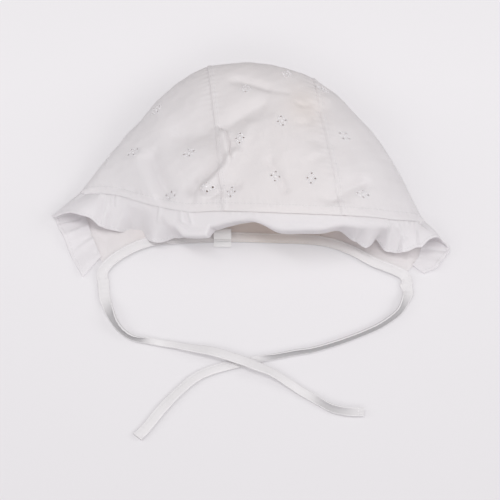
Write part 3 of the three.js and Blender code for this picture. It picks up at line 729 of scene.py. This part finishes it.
def tuck_height(across, width, length):
    """Small tucks beside the seam."""
    phase = math.pi * length / TUCK_LENGTH + TUCK_WANDER * waves(length, *GATHER_WANDER)
    tucks = np.cos(phase) ** 4 * (1 - TUCK_UNEVEN.height + waves(length, TUCK_UNEVEN))
    fade = np.exp(-((width - TUCK_FROM) / TUCK_REACH) ** 2) * ramp(0, TUCK_FADE, across)
    return TUCK_HEIGHT * tucks * fade


def mesh_piece(name, points, faces, material):
    """A smooth-shaded object from points in millimetres and lists of corners."""
    mesh = bpy.data.meshes.new(name)
    mesh.from_pydata((np.asarray(points) * MM).tolist(), [], faces)
    mesh.materials.append(material)
    mesh.shade_smooth()
    mesh.set_sharp_from_angle(angle=SHARP_ANGLE)
    mesh.update()
    obj = bpy.data.objects.new(name, mesh)
    bpy.context.collection.objects.link(obj)
    return obj


def vertex_normals(points, faces):
    """The normal at each point of a mesh of triangles and four-sided faces, larger faces counting more."""
    normals = np.zeros(points.shape)
    for size in (3, 4):
        corners = np.array([face for face in faces if len(face) == size], int).reshape(-1, size)
        at = [points[corners[:, k]] for k in range(size)]
        spans = np.cross(at[-2] - at[0], at[-1] - at[-3])
        for k in range(size):
            np.add.at(normals, corners[:, k], spans)
    return unit(normals)


def solid_cloth(points, faces, thickness):
    """Both faces of a cloth of that thickness, joined round its edges and holes."""
    offset = vertex_normals(points, faces) * (np.asarray(thickness) / 2).reshape(-1, 1)
    count = len(points)
    edges = dict.fromkeys(edge for face in faces for edge in zip(face, face[1:] + face[:1]))
    rims = [(b, a, a + count, b + count) for a, b in edges if (b, a) not in edges]
    under = [tuple(corner + count for corner in reversed(face)) for face in faces]
    return np.concatenate([points + offset, points - offset]), [*faces, *under, *rims]


def grid_faces(columns, rows):
    return [
        (i * rows + j, (i + 1) * rows + j, (i + 1) * rows + j + 1, i * rows + j + 1)
        for i in range(columns - 1)
        for j in range(rows - 1)
    ]


def ring_faces(rings, size):
    """The faces between rings of that many points."""
    return [
        (i * size + k, i * size + (k + 1) % size, (i + 1) * size + (k + 1) % size, (i + 1) * size + k)
        for i in range(rings - 1)
        for k in range(size)
    ]


def flower_holes(flower):
    """The centres of a flower's holes in its own plane: sideways, backward."""
    upright = LEFT_SEAM < flower.rib < RIGHT_SEAM
    size = (FLOWER_SHORT, FLOWER_LONG) if upright else (FLOWER_LONG, FLOWER_SHORT)
    return turned(circle(4) * size, math.radians(flower.turn))


def flower_plane(flower):
    """The matrix from a flower's plane in millimetres to steps in rib and over."""
    moves = differences(plain_crown, np.array([flower.rib]), np.array([flower.over]))
    by_rib, by_over = (move[0] / (2 * STEP) for move in moves)
    side = by_rib / np.linalg.norm(by_rib)
    normal = np.cross(by_rib, by_over)
    back = np.cross(normal / np.linalg.norm(normal), side)
    return np.linalg.inv(np.array([[side @ by_rib, side @ by_over], [back @ by_rib, back @ by_over]]))


def block_round(flower, ribs, overs):
    """The first and last rib and over of the cells round a flower."""
    reach = np.abs(flower_plane(flower)) @ np.array([FLOWER_BLOCK, FLOWER_BLOCK])
    i0, i1 = np.searchsorted(ribs, [flower.rib - reach[0], flower.rib + reach[0]]) - [1, 0]
    j0, j1 = np.searchsorted(overs, [flower.over - reach[1], flower.over + reach[1]]) - [1, 0]
    return max(i0, 0), min(i1, len(ribs) - 1), max(j0, 0), min(j1, len(overs) - 1)


def pierce(flower, ribs, overs, params, faces):
    """Replaces the cells round a flower by triangles that leave its holes open."""
    rows = len(overs)
    to_steps = flower_plane(flower)
    to_plane = np.linalg.inv(to_steps)
    middle = np.array([flower.rib, flower.over])
    spots = flower_holes(flower)
    i0, i1, j0, j1 = block_round(flower, ribs, overs)

    def spot_at(i, j):
        return to_plane @ (np.array([ribs[i], overs[j]]) - middle)

    border = [(i, j0) for i in range(i0, i1)] + [(i1, j) for j in range(j0, j1)]
    border += [(i, j1) for i in range(i1, i0, -1)] + [(i0, j) for j in range(j1, j0, -1)]
    cells = border + [
        (i, j)
        for i in range(i0 + 1, i1)
        for j in range(j0 + 1, j1)
        if np.linalg.norm(spots - spot_at(i, j), axis=1).min() >= HOLE_RADIUS + HOLE_CLEAR
    ]
    plane = [spot_at(i, j) for i, j in cells]
    names = [i * rows + j for i, j in cells]
    links = [(k, (k + 1) % len(border)) for k in range(len(border))]
    loop_of = [-1] * len(plane)
    for hole, spot in enumerate(spots):
        first = len(plane)
        for k, point in enumerate(spot + HOLE_RADIUS * circle(HOLE_SIDES)):
            plane.append(point)
            names.append(len(params))
            loop_of.append(hole)
            params.append(tuple(middle + to_steps @ point))
            links.append((first + k, first + (k + 1) % HOLE_SIDES))
    made = geometry.delaunay_2d_cdt([Vector(p) for p in plane], links, [], 0, 1e-6)
    old = [origins[0] for origins in made[3]]
    replaced = {i * rows + j for i in range(i0, i1) for j in range(j0, j1)}
    kept = [face for face in faces if len(face) == 3 or face[0] not in replaced]
    for face in made[2]:
        corners = [old[k] for k in face]
        a, b, c = (plane[k] for k in corners)
        loops = {loop_of[k] for k in corners}
        if abs(np.cross(b - a, c - a)) > LEAST_SPREAD and (len(loops) > 1 or -1 in loops):
            kept.append(tuple(names[k] for k in corners))
    return kept


def crown_panel(name, start, end, columns):
    ribs = np.linspace(start, end, columns)
    overs = np.concatenate([
        np.linspace(0, OVER_TOP, TOP_STEPS),
        np.linspace(OVER_TOP, OVER_TABLE, TURN_STEPS)[1:],
        np.linspace(OVER_TABLE, 1, TABLE_STEPS)[1:],
    ])
    params = [(rib, over) for rib in ribs for over in overs]
    faces = grid_faces(len(ribs), len(overs))
    for flower in FLOWERS:
        if start < flower.rib < end:
            faces = pierce(flower, ribs, overs, params, faces)
    used = sorted({corner for face in faces for corner in face})
    place = {old: new for new, old in enumerate(used)}
    faces = [tuple(place[corner] for corner in face) for face in faces]
    rib, over = np.array(params)[used].T
    points, solid = solid_cloth(crown(rib, over), faces, CROWN_CLOTH)
    obj = mesh_piece(name, points, solid, COTTON)
    weave = np.stack([rib * WEAVE_STEP, over * WEAVE_LENGTH, 0 * rib], -1)
    # a real stain outside, painted warm bounce light inside
    cloth_attributes(obj, weave, np.concatenate([outer_warmth(rib, over), inner_painted_bounce(rib)]))
    return obj


def outer_warmth(rib, over):
    """A faint yellowed stain on the top."""
    off = (plain_crown(rib, over)[:, :2] - STAIN_PLACE) / STAIN_SPREAD
    return STAIN * np.exp(-(off ** 2).sum(-1)) * (over < OVER_TOP)


def inner_painted_bounce(rib):
    """Painted warm bounce light on the inside, strongest towards the middle of the neck."""
    return INSIDE_PAINTED_BOUNCE + NAPE_PAINTED_BOUNCE * np.exp(-((rib - CENTER_RIB) / NAPE_SPREAD) ** 2)


def cloth_attributes(obj, weave, stain_and_bounce):
    """The weave's coordinates, the same on both faces, and the yellowing: a stain on the top and painted warm
    bounce light inside.
    """
    values = np.tile(weave, (2, 1)).ravel()
    obj.data.attributes.new("weave", "FLOAT_VECTOR", "POINT").data.foreach_set("vector", values)
    point_attribute(obj, "stain_and_bounce", stain_and_bounce)


def point_attribute(obj, name, values):
    obj.data.attributes.new(name, "FLOAT", "POINT").data.foreach_set("value", values)


def ruffle_strip(name):
    stations = np.linspace(RUFFLE_LIES[0].station, RUFFLE_LIES[-1].station, RUFFLE_COLUMNS)
    acrosses = 1 - np.linspace(1, 0, RUFFLE_ROWS) ** RUFFLE_SPACING
    station, across = (values.ravel() for values in np.meshgrid(stations, acrosses, indexing="ij"))
    hem = ramp(HEM_FROM, HEM_FULL, (1 - across) * between(RUFFLE_LIES, "reach", station))
    thickness = RUFFLE_CLOTH + (HEM_CLOTH - RUFFLE_CLOTH) * hem
    faces = grid_faces(len(stations), len(acrosses))
    points, solid = solid_cloth(ruffle(station, across), faces, thickness)
    points[:, 2] = np.maximum(points[:, 2], REST)
    obj = mesh_piece(name, points, solid, COTTON)
    weave = np.stack([station * RUFFLE_WEAVE_STEP, across * RUFFLE_WIDTH, 0 * across], -1)
    cloth_attributes(obj, weave, np.zeros(len(points)))
    return obj


def sweep(profiles, places, sides, ups):
    """Rings of [side, up] points along a route, closed at both ends."""
    count, size = profiles.shape[:2]
    rings = places[:, None] + profiles[..., :1] * sides[:, None] + profiles[..., 1:] * ups[:, None]
    faces = ring_faces(count, size)
    for ring, backward in ((0, True), (count - 1, False)):
        outline = [Vector((*point, 0)) for point in profiles[ring]]
        for cap in geometry.tessellate_polygon([outline]):
            corners = tuple(ring * size + k for k in cap)
            faces.append(corners[::-1] if backward else corners)
    return rings.reshape(-1, 3), faces


def flat_frames(plan, ts):
    """Places, ways along and sides of a route in plan, at the height 0."""
    third = [(0, 0), (0, 1)]
    places = np.pad(spline(plan, ts), third)
    along = unit(np.pad(spline(plan, ts + STEP) - spline(plan, ts - STEP), third))
    return places, along, np.cross(along, UP)


def outward_faces(points, faces):
    """Turns all faces round if the solid is inside out."""
    volume = sum(np.dot(points[f[0]], np.cross(points[f[k]], points[f[k + 1]]))
                 for f in faces for k in range(1, len(f) - 1))
    return faces if volume > 0 else [tuple(reversed(face)) for face in faces]


def neck_tape(name):
    ts = np.linspace(0, len(NECK) - 1, TAPE_STEPS)
    places, _, sides = flat_frames(NECK, ts)
    lengths = path_lengths(places)
    from_end = np.minimum(lengths, lengths[-1] - lengths)
    pucker = np.sin(lengths * 2 * math.pi / TAPE_PUCKER_LENGTH + waves(lengths, TAPE_WANDER))
    low = TAPE_END_HEIGHT + (1 - TAPE_END_HEIGHT) * ramp(0, TAPE_END_SLOPE, from_end)
    closing = 1 - TAPE_CLOSING * ramp(TAPE_CLOSING_LENGTH, 0, from_end)
    profiles = np.repeat(TAPE_SECTION[None], len(ts), axis=0)
    profiles[:, TAPE_SECTION[:, 1] > TAPE_UPPER, 1] += TAPE_PUCKER * pucker[:, None]
    profiles[:, :, 1] *= low[:, None]
    middle = np.array([(TAPE_FRONT + TAPE_BACK) / 2, TIE_PART_THICKNESS / 2])
    profiles = middle + (profiles - middle) * closing[:, None, None]
    profiles[:, :, 0] += waves(lengths, TAPE_SWAY)[:, None]
    points, faces = sweep(profiles, places, sides, np.broadcast_to(UP, sides.shape))
    obj = mesh_piece(name, points, outward_faces(points, faces), TAPE)
    # painted warm bounce light on the middle of the tape
    stain_and_bounce = TAPE_PAINTED_BOUNCE * np.exp(-((points[:, 0] - TAPE_BOUNCE_X) / TAPE_BOUNCE_SPREAD) ** 2)
    point_attribute(obj, "stain_and_bounce", stain_and_bounce)
    # painted shade along the lower front edge, where the tape meets the table
    painted_shade = np.zeros(profiles.shape[:2])
    painted_shade[:, TAPE_LOWER_EDGE] = EDGE_PAINTED_SHADE
    point_attribute(obj, "painted_shade", painted_shade.ravel())
    return obj


def eased(rows, name, ts):
    return spline(column(rows, name), ts)


def tie_route(rows, ts):
    """Centre line, side and up of a tie, in millimetres."""
    plan = np.stack([column(rows, "x"), column(rows, "y")], -1)
    places, along, sides = flat_frames(plan, ts)
    roll = np.radians(eased(rows, "roll", ts))[:, None]
    c, s = np.cos(roll), np.sin(roll)
    lift = np.maximum(0, eased(rows, "lift", ts))
    stand = eased(rows, "wide", ts) * TIE_WIDTH / 2 * np.abs(s[:, 0])
    stand += TIE_PART_THICKNESS / 2 * np.abs(c[:, 0])
    places[:, 2] = lift + stand + TIE_CLEAR
    return places, sides * c + np.cross(along, sides) * s, UP * c + np.cross(along, UP) * s


def tie_sections():
    """A tie's section lying flat, and folded up at both edges to a channel."""
    w, h = TIE_WIDTH / 2, TIE_THICKNESS / 2
    flat = np.array([
        (w, -0.05 * h), (w, 0.35 * h), (w - 0.25, 0.75 * h), (w - 0.9, 0.95 * h), (w - 1.5, 0.72 * h),
        (w - 2.2, h), (0, 1.06 * h), (2.2 - w, h), (1.2 - w, 0.95 * h), (0.3 - w, 0.75 * h), (-w, 0.35 * h),
        (-w, -0.05 * h), (0.5 - w, -0.2 * h), (1.6 - w, -0.5 * h), (2.8 - w, -h), (0, -1.06 * h),
        (w - 2.8, -h), (w - 1.6, -0.5 * h), (w - 0.5, -0.2 * h),
    ])
    channel = flat.copy()
    channel[TIE_UPPER] = [
        (w, h + 0.6), (w - 0.15, h + 1.0), (w - 0.7, h + 1.1), (w - 1.1, h + 0.6), (w - 1.3, 0.1 * h),
        (0, -0.4 * h), (1.3 - w, 0.1 * h), (1.1 - w, h + 0.6), (0.7 - w, h + 1.1), (-w, h + 0.8),
    ]
    return flat, channel


def tie(name, rows):
    ts = np.linspace(0, len(rows) - 1, TIE_STEPS)
    places, sides, ups = tie_route(rows, ts)
    flat, channel = tie_sections()
    opened = np.sin(np.radians(eased(rows, "roll", ts)))[:, None, None] ** 2
    lengths = path_lengths(places)
    profiles = flat + opened * (channel - flat)
    profiles[:, :, 0] *= eased(rows, "wide", ts)[:, None]
    profiles[:, :, 0] *= (1 + waves(lengths, *TIE_WIDTH_WAVES))[:, None]
    profiles[:, :, 1] *= (1 + waves(lengths, TIE_THICKNESS_WAVE))[:, None]
    points, faces = sweep(profiles, places, sides, ups)
    obj = mesh_piece(name, points, outward_faces(points, faces), TAPE)
    # painted shade on the lower edges, and inside the channel where the tie stands on its edge
    painted_shade = np.zeros(profiles.shape[:2])
    painted_shade[:, TIE_LOWER_EDGES] = EDGE_PAINTED_SHADE
    painted_shade[:, TIE_INNER] = CHANNEL_PAINTED_SHADE * np.minimum(1, 2 * opened[:, :, 0])
    point_attribute(obj, "painted_shade", painted_shade.ravel())
    return obj


def label_tape(name):
    """The folded label: a long lower leaf, the fold at the back, and a shorter upper leaf that curls up."""
    ups = spline(LABEL_SECTION, np.linspace(0, len(LABEL_SECTION) - 1, LABEL_ROWS))
    acrosses = np.linspace(-LABEL_WIDTH / 2, LABEL_WIDTH / 2, LABEL_COLUMNS)
    points = np.array([(LABEL_X + across, y, z) for across in acrosses for y, z in ups])
    points[:, 2] += waves(points[:, 0] - LABEL_X, LABEL_BOW) * ramp(*LABEL_BOWED, points[:, 2])
    points, faces = solid_cloth(points, grid_faces(len(acrosses), len(ups)), LABEL_CLOTH)
    return mesh_piece(name, points, outward_faces(points, faces), SATIN)


def stitches(places, ways, ups):
    """A bowed, round-ended run of thread at each place."""
    around = circle(STITCH_SIDES)
    sides = np.cross(ways, ups)
    spokes = around[:, :1] * sides[:, None] + around[:, 1:] * ups[:, None]
    rings = []
    for at, wide in STITCH_RINGS:
        centre = places + ways * (at * STITCH_LENGTH) + ups * STITCH_RADIUS * (wide - 1)
        rings.append(centre[:, None] + STITCH_RADIUS * wide * spokes)
    points = np.stack(rings, 1).reshape(len(places), -1, 3)
    size = points.shape[1]
    shape = ring_faces(len(STITCH_RINGS), STITCH_SIDES)
    shape += [tuple(range(STITCH_SIDES))[::-1], tuple(range(size - STITCH_SIDES, size))]
    faces = [tuple(i * size + k for k in face) for i in range(len(places)) for face in shape]
    return points.reshape(-1, 3), faces


def rows_at(at, lengths, rows):
    return np.stack([np.interp(at, lengths, values) for values in rows.T], -1)


def along_line(points, ups, lift):
    """Places, ways and ups at even steps along a line of points."""
    lengths = path_lengths(points)
    at = np.arange(STITCH_PITCH, lengths[-1] - STITCH_PITCH, STITCH_PITCH)
    place = rows_at(at, lengths, points)
    way = unit(rows_at(at + STITCH_AHEAD, lengths, points) - place)
    up = unit(rows_at(at, lengths, ups))
    return place + up * lift, way, unit(up - way * (way * up).sum(-1, keepdims=True))


def stitching(name, lines):
    """One piece of many stitches, from lines of (points, normals, lift)."""
    parts = [along_line(*line) for line in lines]
    points, faces = stitches(*(np.concatenate(rows) for rows in zip(*parts)))
    return mesh_piece(name, points, faces, THREAD)


def on_crown(rib, over, lift):
    return crown(rib, over), normal_of(crown, rib, over), CROWN_CLOTH / 2 + lift


def seam_stitches(seam):
    """The topstitched line on the allowance, to the right of a seam."""
    overs = np.linspace(*SEAM_STITCHED, SEAM_STEPS)
    beside = plain_crown(seam + SEAM_NEAR, overs) - plain_crown(seam, overs)
    return on_crown(seam + SEAM_NEAR * SEAM_TOPSTITCH / np.linalg.norm(beside, axis=-1), overs, STITCH_LIFT)


def bar_tack(rib):
    """A few stitches across the brow seam."""
    return on_crown(rib, np.linspace(*TACK_OVERS, TACK_STEPS), TACK_LIFT)


def brow_stitches():
    ribs = np.linspace(BROW_STITCHED, LAST_RIB - BROW_STITCHED, LINE_STEPS)
    back = plain_crown(ribs, BROW_NEAR) - plain_crown(ribs, 0)
    return on_crown(ribs, BROW_NEAR * BROW_BAND / np.linalg.norm(back, axis=-1), STITCH_LIFT)


def hem_stitches(sign):
    first, last = RUFFLE_LIES[0].station, RUFFLE_LIES[-1].station
    stations = np.linspace(first + HEM_STITCHED, last - HEM_STITCHED, HEM_STEPS)
    across = 1 - HEM_WIDTH / between(RUFFLE_LIES, "reach", stations)
    lift = RUFFLE_CLOTH / 2 + HEM_LIFT
    return ruffle(stations, across), sign * normal_of(ruffle, stations, across), lift


def tape_stitches(beside, height):
    ts = np.linspace(TAPE_STITCHED, len(NECK) - 1 - TAPE_STITCHED, LINE_STEPS)
    places, _, sides = flat_frames(NECK, ts)
    return places + sides * beside + UP * height, np.broadcast_to(UP, sides.shape), 0.0


def tie_end_stitches(rows, back):
    """A line across a tie, that far before its end in turns."""
    place, side, up = tie_route(rows, np.array([len(rows) - 1 - back]))
    reach = rows[-1].wide * TIE_WIDTH / 2 - TIE_TACK_INSET + STITCH_PITCH
    offsets = np.linspace(-reach, reach, TIE_TACK_STEPS)
    lift = TIE_THICKNESS / 2 + STITCH_LIFT
    return place + side * offsets[:, None], np.repeat(up, TIE_TACK_STEPS, axis=0), lift


def rim_points(spot):
    """A ring of satin stitch round a hole, as sideways, backward and height."""
    tube = RIM_THICKNESS * circle(RIM_TUBE)
    plane = spot + circle(RIM_AROUND)[:, None] * (RIM_RADIUS + tube[:, :1])
    return np.column_stack([plane.reshape(-1, 2), np.tile(tube[:, 1] + RIM_RAISE, RIM_AROUND)])


def pad_points(middle, long, wide):
    """A low oval pad that points away from the flower's middle, as sideways, backward and height."""
    oval = turned(circle(PAD_SIDES) * (long, wide), math.atan2(middle[1], middle[0]))
    rings = [np.insert(middle + share * oval, 2, height, axis=1) for share, height in PAD_RINGS]
    return np.concatenate([*rings, [[*middle, PAD_TOP]]])


def rim_faces():
    size = RIM_AROUND * RIM_TUBE
    return [(a, d % size, c % size, b) for a, b, c, d in ring_faces(RIM_AROUND + 1, RIM_TUBE)]


def pad_faces():
    top = PAD_SIDES * len(PAD_RINGS)
    last = top - PAD_SIDES
    faces = ring_faces(len(PAD_RINGS), PAD_SIDES)
    faces += [(last + k, last + (k + 1) % PAD_SIDES, top) for k in range(PAD_SIDES)]
    return [*faces, tuple(range(PAD_SIDES))[::-1]]


def flower_stitching(name):
    """Satin rims round the holes, a raised middle, and small leaves between the holes."""
    rows, faces = [], []
    for flower in FLOWERS:
        spots = flower_holes(flower)
        shapes = [(rim_points(spot), rim_faces()) for spot in spots]
        shapes.append((pad_points(np.zeros(2), MIDDLE_PAD, MIDDLE_PAD), pad_faces()))
        for middle in LEAF_OUT * (spots + np.roll(spots, -1, axis=0)):
            shapes.append((pad_points(middle, LEAF_LONG, LEAF_WIDE), pad_faces()))
        to_steps = flower_plane(flower)
        for shape, shape_faces in shapes:
            faces += [tuple(len(rows) + k for k in face) for face in shape_faces]
            steps = np.array([flower.rib, flower.over]) + shape[:, :2] @ to_steps.T
            rows.extend(np.column_stack([steps, shape[:, 2]]))
    rib, over, height = np.array(rows).T
    points = crown(rib, over) + normal_of(crown, rib, over) * (height + CROWN_CLOTH / 2)[:, None]
    return mesh_piece(name, points, faces, THREAD)


def node(tree, kind, inputs=(), **settings):
    """A shader node with its settings, and its inputs as values or links."""
    made = tree.nodes.new(kind)
    for key, value in settings.items():
        setattr(made, key, value)
    for key, value in dict(inputs).items():
        if isinstance(value, bpy.types.NodeSocket):
            tree.links.new(value, made.inputs[key])
        else:
            made.inputs[key].default_value = value
    return made


def calculated(tree, operation, *values):
    return node(tree, "ShaderNodeMath", enumerate(values), operation=operation).outputs[0]


def mixed_color(tree, share, a, b):
    return node(tree, "ShaderNodeMix", {0: share, 6: a, 7: b}, data_type="RGBA").outputs[2]


def object_place(tree):
    return node(tree, "ShaderNodeTexCoord").outputs["Object"]


def noise(tree, place, scale, detail):
    inputs = {"Vector": place, "Scale": scale, "Detail": detail}
    return node(tree, "ShaderNodeTexNoise", inputs).outputs["Fac"]


def attribute(tree, name, output="Fac"):
    return node(tree, "ShaderNodeAttribute", attribute_name=name).outputs[output]


def bumps(tree, height, strength):
    inputs = {"Height": height, "Strength": strength, "Distance": BUMP_DISTANCE}
    return node(tree, "ShaderNodeBump", inputs).outputs[0]


def new_material(name):
    material = bpy.data.materials.new(name)
    material.use_nodes = True
    material.node_tree.nodes.clear()
    return material, material.node_tree


def mixed_shaders(tree, share, a, b):
    return node(tree, "ShaderNodeMixShader", {0: share, 1: a.outputs[0], 2: b.outputs[0]})


def cotton_material():
    """Plain woven cotton: fine threads, slubs, uneven whiteness, yellowed where the cloth says so: a real
    stain on the top and painted warm bounce light inside.
    """
    material, tree = new_material("cotton_cloth")
    place = object_place(tree)
    weave = node(tree, "ShaderNodeSeparateXYZ", {"Vector": attribute(tree, "weave", "Vector")})
    ways = [
        calculated(tree, "SINE", calculated(tree, "MULTIPLY", weave.outputs[axis], THREADS))
        for axis in ("X", "Y")
    ]
    threads = calculated(tree, "MULTIPLY", calculated(tree, "MULTIPLY", *ways), THREAD_HEIGHT)
    crinkle = calculated(tree, "MULTIPLY", noise(tree, place, 160.0, 4.0), CRINKLE_HEIGHT)
    slubs = calculated(tree, "ADD", noise(tree, place, 900.0, 3.0), crinkle)
    normal = bumps(tree, calculated(tree, "ADD", threads, slubs), 0.35)
    white = mixed_color(tree, noise(tree, place, 22.0, 2.0), COTTON_DARK, COTTON_LIGHT)
    # the stain, and painted warm bounce light on the inside
    color = mixed_color(tree, attribute(tree, "stain_and_bounce"), white, STAIN_AND_BOUNCE_YELLOW)
    inputs = {"Base Color": color, "Roughness": 0.9, "Sheen Weight": 0.15, "Normal": normal}
    cloth = node(tree, "ShaderNodeBsdfPrincipled", inputs)
    through = node(tree, "ShaderNodeBsdfTranslucent", {"Color": color, "Normal": normal})
    mix = mixed_shaders(tree, COTTON_THROUGH, cloth, through)
    node(tree, "ShaderNodeOutputMaterial", {"Surface": mix.outputs[0]})
    return material


def thread_like(name, light, dark, roughness, scale, strength):
    """Tape, thread or satin: fine ribs and uneven whiteness, with painted warm bounce light and painted shade
    where the piece says so.
    """
    material, tree = new_material(name)
    place = object_place(tree)
    normal = bumps(tree, noise(tree, place, scale, 3.0), strength)
    white = mixed_color(tree, noise(tree, place, 60.0, 2.0), dark, light)
    # painted warm bounce light where the piece says so
    stain_and_bounce = mixed_color(tree, attribute(tree, "stain_and_bounce"), white, STAIN_AND_BOUNCE_YELLOW)
    # painted shade where the piece says so
    color = mixed_color(tree, attribute(tree, "painted_shade"), stain_and_bounce, PAINTED_SHADE_GREY)
    inputs = {"Base Color": color, "Roughness": roughness, "Sheen Weight": 0.1, "Normal": normal}
    cloth = node(tree, "ShaderNodeBsdfPrincipled", inputs)
    node(tree, "ShaderNodeOutputMaterial", {"Surface": cloth.outputs[0]})
    return material


def floor_material():
    """A pale floor that glows a little, with painted shade darker towards the front."""
    material, tree = new_material("pale_floor")
    place = object_place(tree)
    back = node(tree, "ShaderNodeSeparateXYZ", {"Vector": place}).outputs["Y"]
    far = node(tree, "ShaderNodeMapRange", {"Value": back, "From Min": FLOOR_NEAR, "From Max": FLOOR_FAR})
    near_painted_shade = mixed_color(tree, noise(tree, place, 3.0, 2.0), *FLOOR_FRONT_PAINTED_SHADE)
    color = mixed_color(tree, far.outputs[0], near_painted_shade, FLOOR_BACK)
    paint = node(tree, "ShaderNodeBsdfPrincipled", {"Base Color": color, "Roughness": 0.8})
    glow = node(tree, "ShaderNodeEmission", {"Color": color, "Strength": FLOOR_GLOW})
    mix = mixed_shaders(tree, FLOOR_GLOW_SHARE, paint, glow)
    node(tree, "ShaderNodeOutputMaterial", {"Surface": mix.outputs[0]})
    return material


COTTON = cotton_material()
TAPE = thread_like("cotton_tape", (0.77, 0.75, 0.76, 1), (0.69, 0.67, 0.68, 1), 0.85, 700.0, 0.3)
# the thread is greyer than the cotton: painted shade of the embroidery's relief and of the seams
THREAD = thread_like("thread_with_painted_shade", (0.82, 0.80, 0.815, 1), (0.74, 0.72, 0.735, 1), 0.6, 1500.0, 0.2)
SATIN = thread_like("satin_label", (0.9, 0.89, 0.89, 1), (0.86, 0.85, 0.855, 1), 0.45, 1200.0, 0.15)


def dress(obj, slot_name, *nodes):
    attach(obj, "root")
    if nodes:
        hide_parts(*nodes)
    return obj


# The pieces
crown_left = dress(crown_panel("crown_left_cloth", 0, LEFT_SEAM, 150), "cotton", "crown_left")
crown_center = dress(crown_panel("crown_center_cloth", LEFT_SEAM, RIGHT_SEAM, 140),
                     "cotton", "crown_center")
crown_right = dress(crown_panel("crown_right_cloth", RIGHT_SEAM, LAST_RIB, 140),
                    "cotton", "crown_right")
ruffle_cloth = dress(ruffle_strip("ruffle_cloth"), "cotton", "ruffle")
binding = dress(neck_tape("neck_tape"), "tape", "neck_binding")
tie_left = dress(tie("tie_left_tape", TIE_LEFT), "tape", "tie_left")
tie_right = dress(tie("tie_right_tape", TIE_RIGHT), "tape", "tie_right")
label = dress(label_tape("label_tape"), "label", "label")
dress(flower_stitching("flower_stitching"), "cotton")
crown_lines = [seam_stitches(LEFT_SEAM), seam_stitches(RIGHT_SEAM), brow_stitches()]
crown_lines += [bar_tack(rib) for rib in BAR_TACKS]
dress(stitching("crown_stitching", crown_lines), "cotton")
dress(stitching("ruffle_stitching", [hem_stitches(1), hem_stitches(-1)]), "cotton")
neck_lines = [tape_stitches(beside, height) for beside, height in TAPE_STITCHES]
dress(stitching("neck_stitching", neck_lines), "tape")
tie_lines = [tie_end_stitches(rows, back) for rows in (TIE_LEFT, TIE_RIGHT) for back in TIE_TACKS]
dress(stitching("tie_stitching", tie_lines), "tape")


def declare_tie(rows):
    ts = np.linspace(0, len(rows) - 1, 2 * len(rows) - 1)
    path = (tie_route(rows, ts)[0] * MM).tolist()


declare_tie(TIE_LEFT)
declare_tie(TIE_RIGHT)

# Floor, light and camera
half = FLOOR_SIZE / 2
corners = [(-half, -half, 0), (half, -half, 0), (half, half, 0), (-half, half, 0)]
floor_mesh = bpy.data.meshes.new("floor")
floor_mesh.from_pydata(corners, [], [(0, 1, 2, 3)])
floor_mesh.materials.append(floor_material())
floor = bpy.data.objects.new("floor", floor_mesh)
bpy.context.collection.objects.link(floor)


def softbox(name, place, size, watts):
    lamp = bpy.data.lights.new(name, "AREA")
    lamp.shape = "RECTANGLE"
    lamp.size, lamp.size_y = size
    lamp.energy = watts
    obj = bpy.data.objects.new(name, lamp)
    obj.location = place
    obj.rotation_euler = (CAMERA_TARGET - Vector(place)).to_track_quat("-Z", "Y").to_euler()
    bpy.context.collection.objects.link(obj)


softbox("overhead", (-0.2, -0.33, 2.4), (2.6, 0.5), 25)
softbox("front", (0.1, -1.9, 1.5), (3.2, 0.8), 17)
softbox("left_side", (-2.2, -0.1, 1.3), (1.6, 1.2), 12)
softbox("right_side", (2.2, -0.1, 1.3), (1.6, 1.2), 20)

world = bpy.data.worlds.new("studio")
world.use_nodes = True
background = world.node_tree.nodes["Background"]
background.inputs["Color"].default_value = (1.0, 0.99, 1.0, 1)
background.inputs["Strength"].default_value = 0.35
bpy.context.scene.world = world
bpy.context.scene.view_settings.view_transform = "Standard"

camera_data = bpy.data.cameras.new("camera")
camera_data.sensor_width = SENSOR_WIDTH
camera_data.lens = SENSOR_WIDTH * CAMERA_DISTANCE / VIEW_WIDTH
camera_data.clip_start = 0.1
camera_data.clip_end = 100
camera = bpy.data.objects.new("camera", camera_data)
back_way = Vector((0, -math.cos(CAMERA_ELEVATION), math.sin(CAMERA_ELEVATION)))
camera.location = CAMERA_TARGET + CAMERA_DISTANCE * back_way
camera.rotation_euler = (-back_way).to_track_quat("-Z", "Y").to_euler()
bpy.context.collection.objects.link(camera)
bpy.context.scene.camera = camera
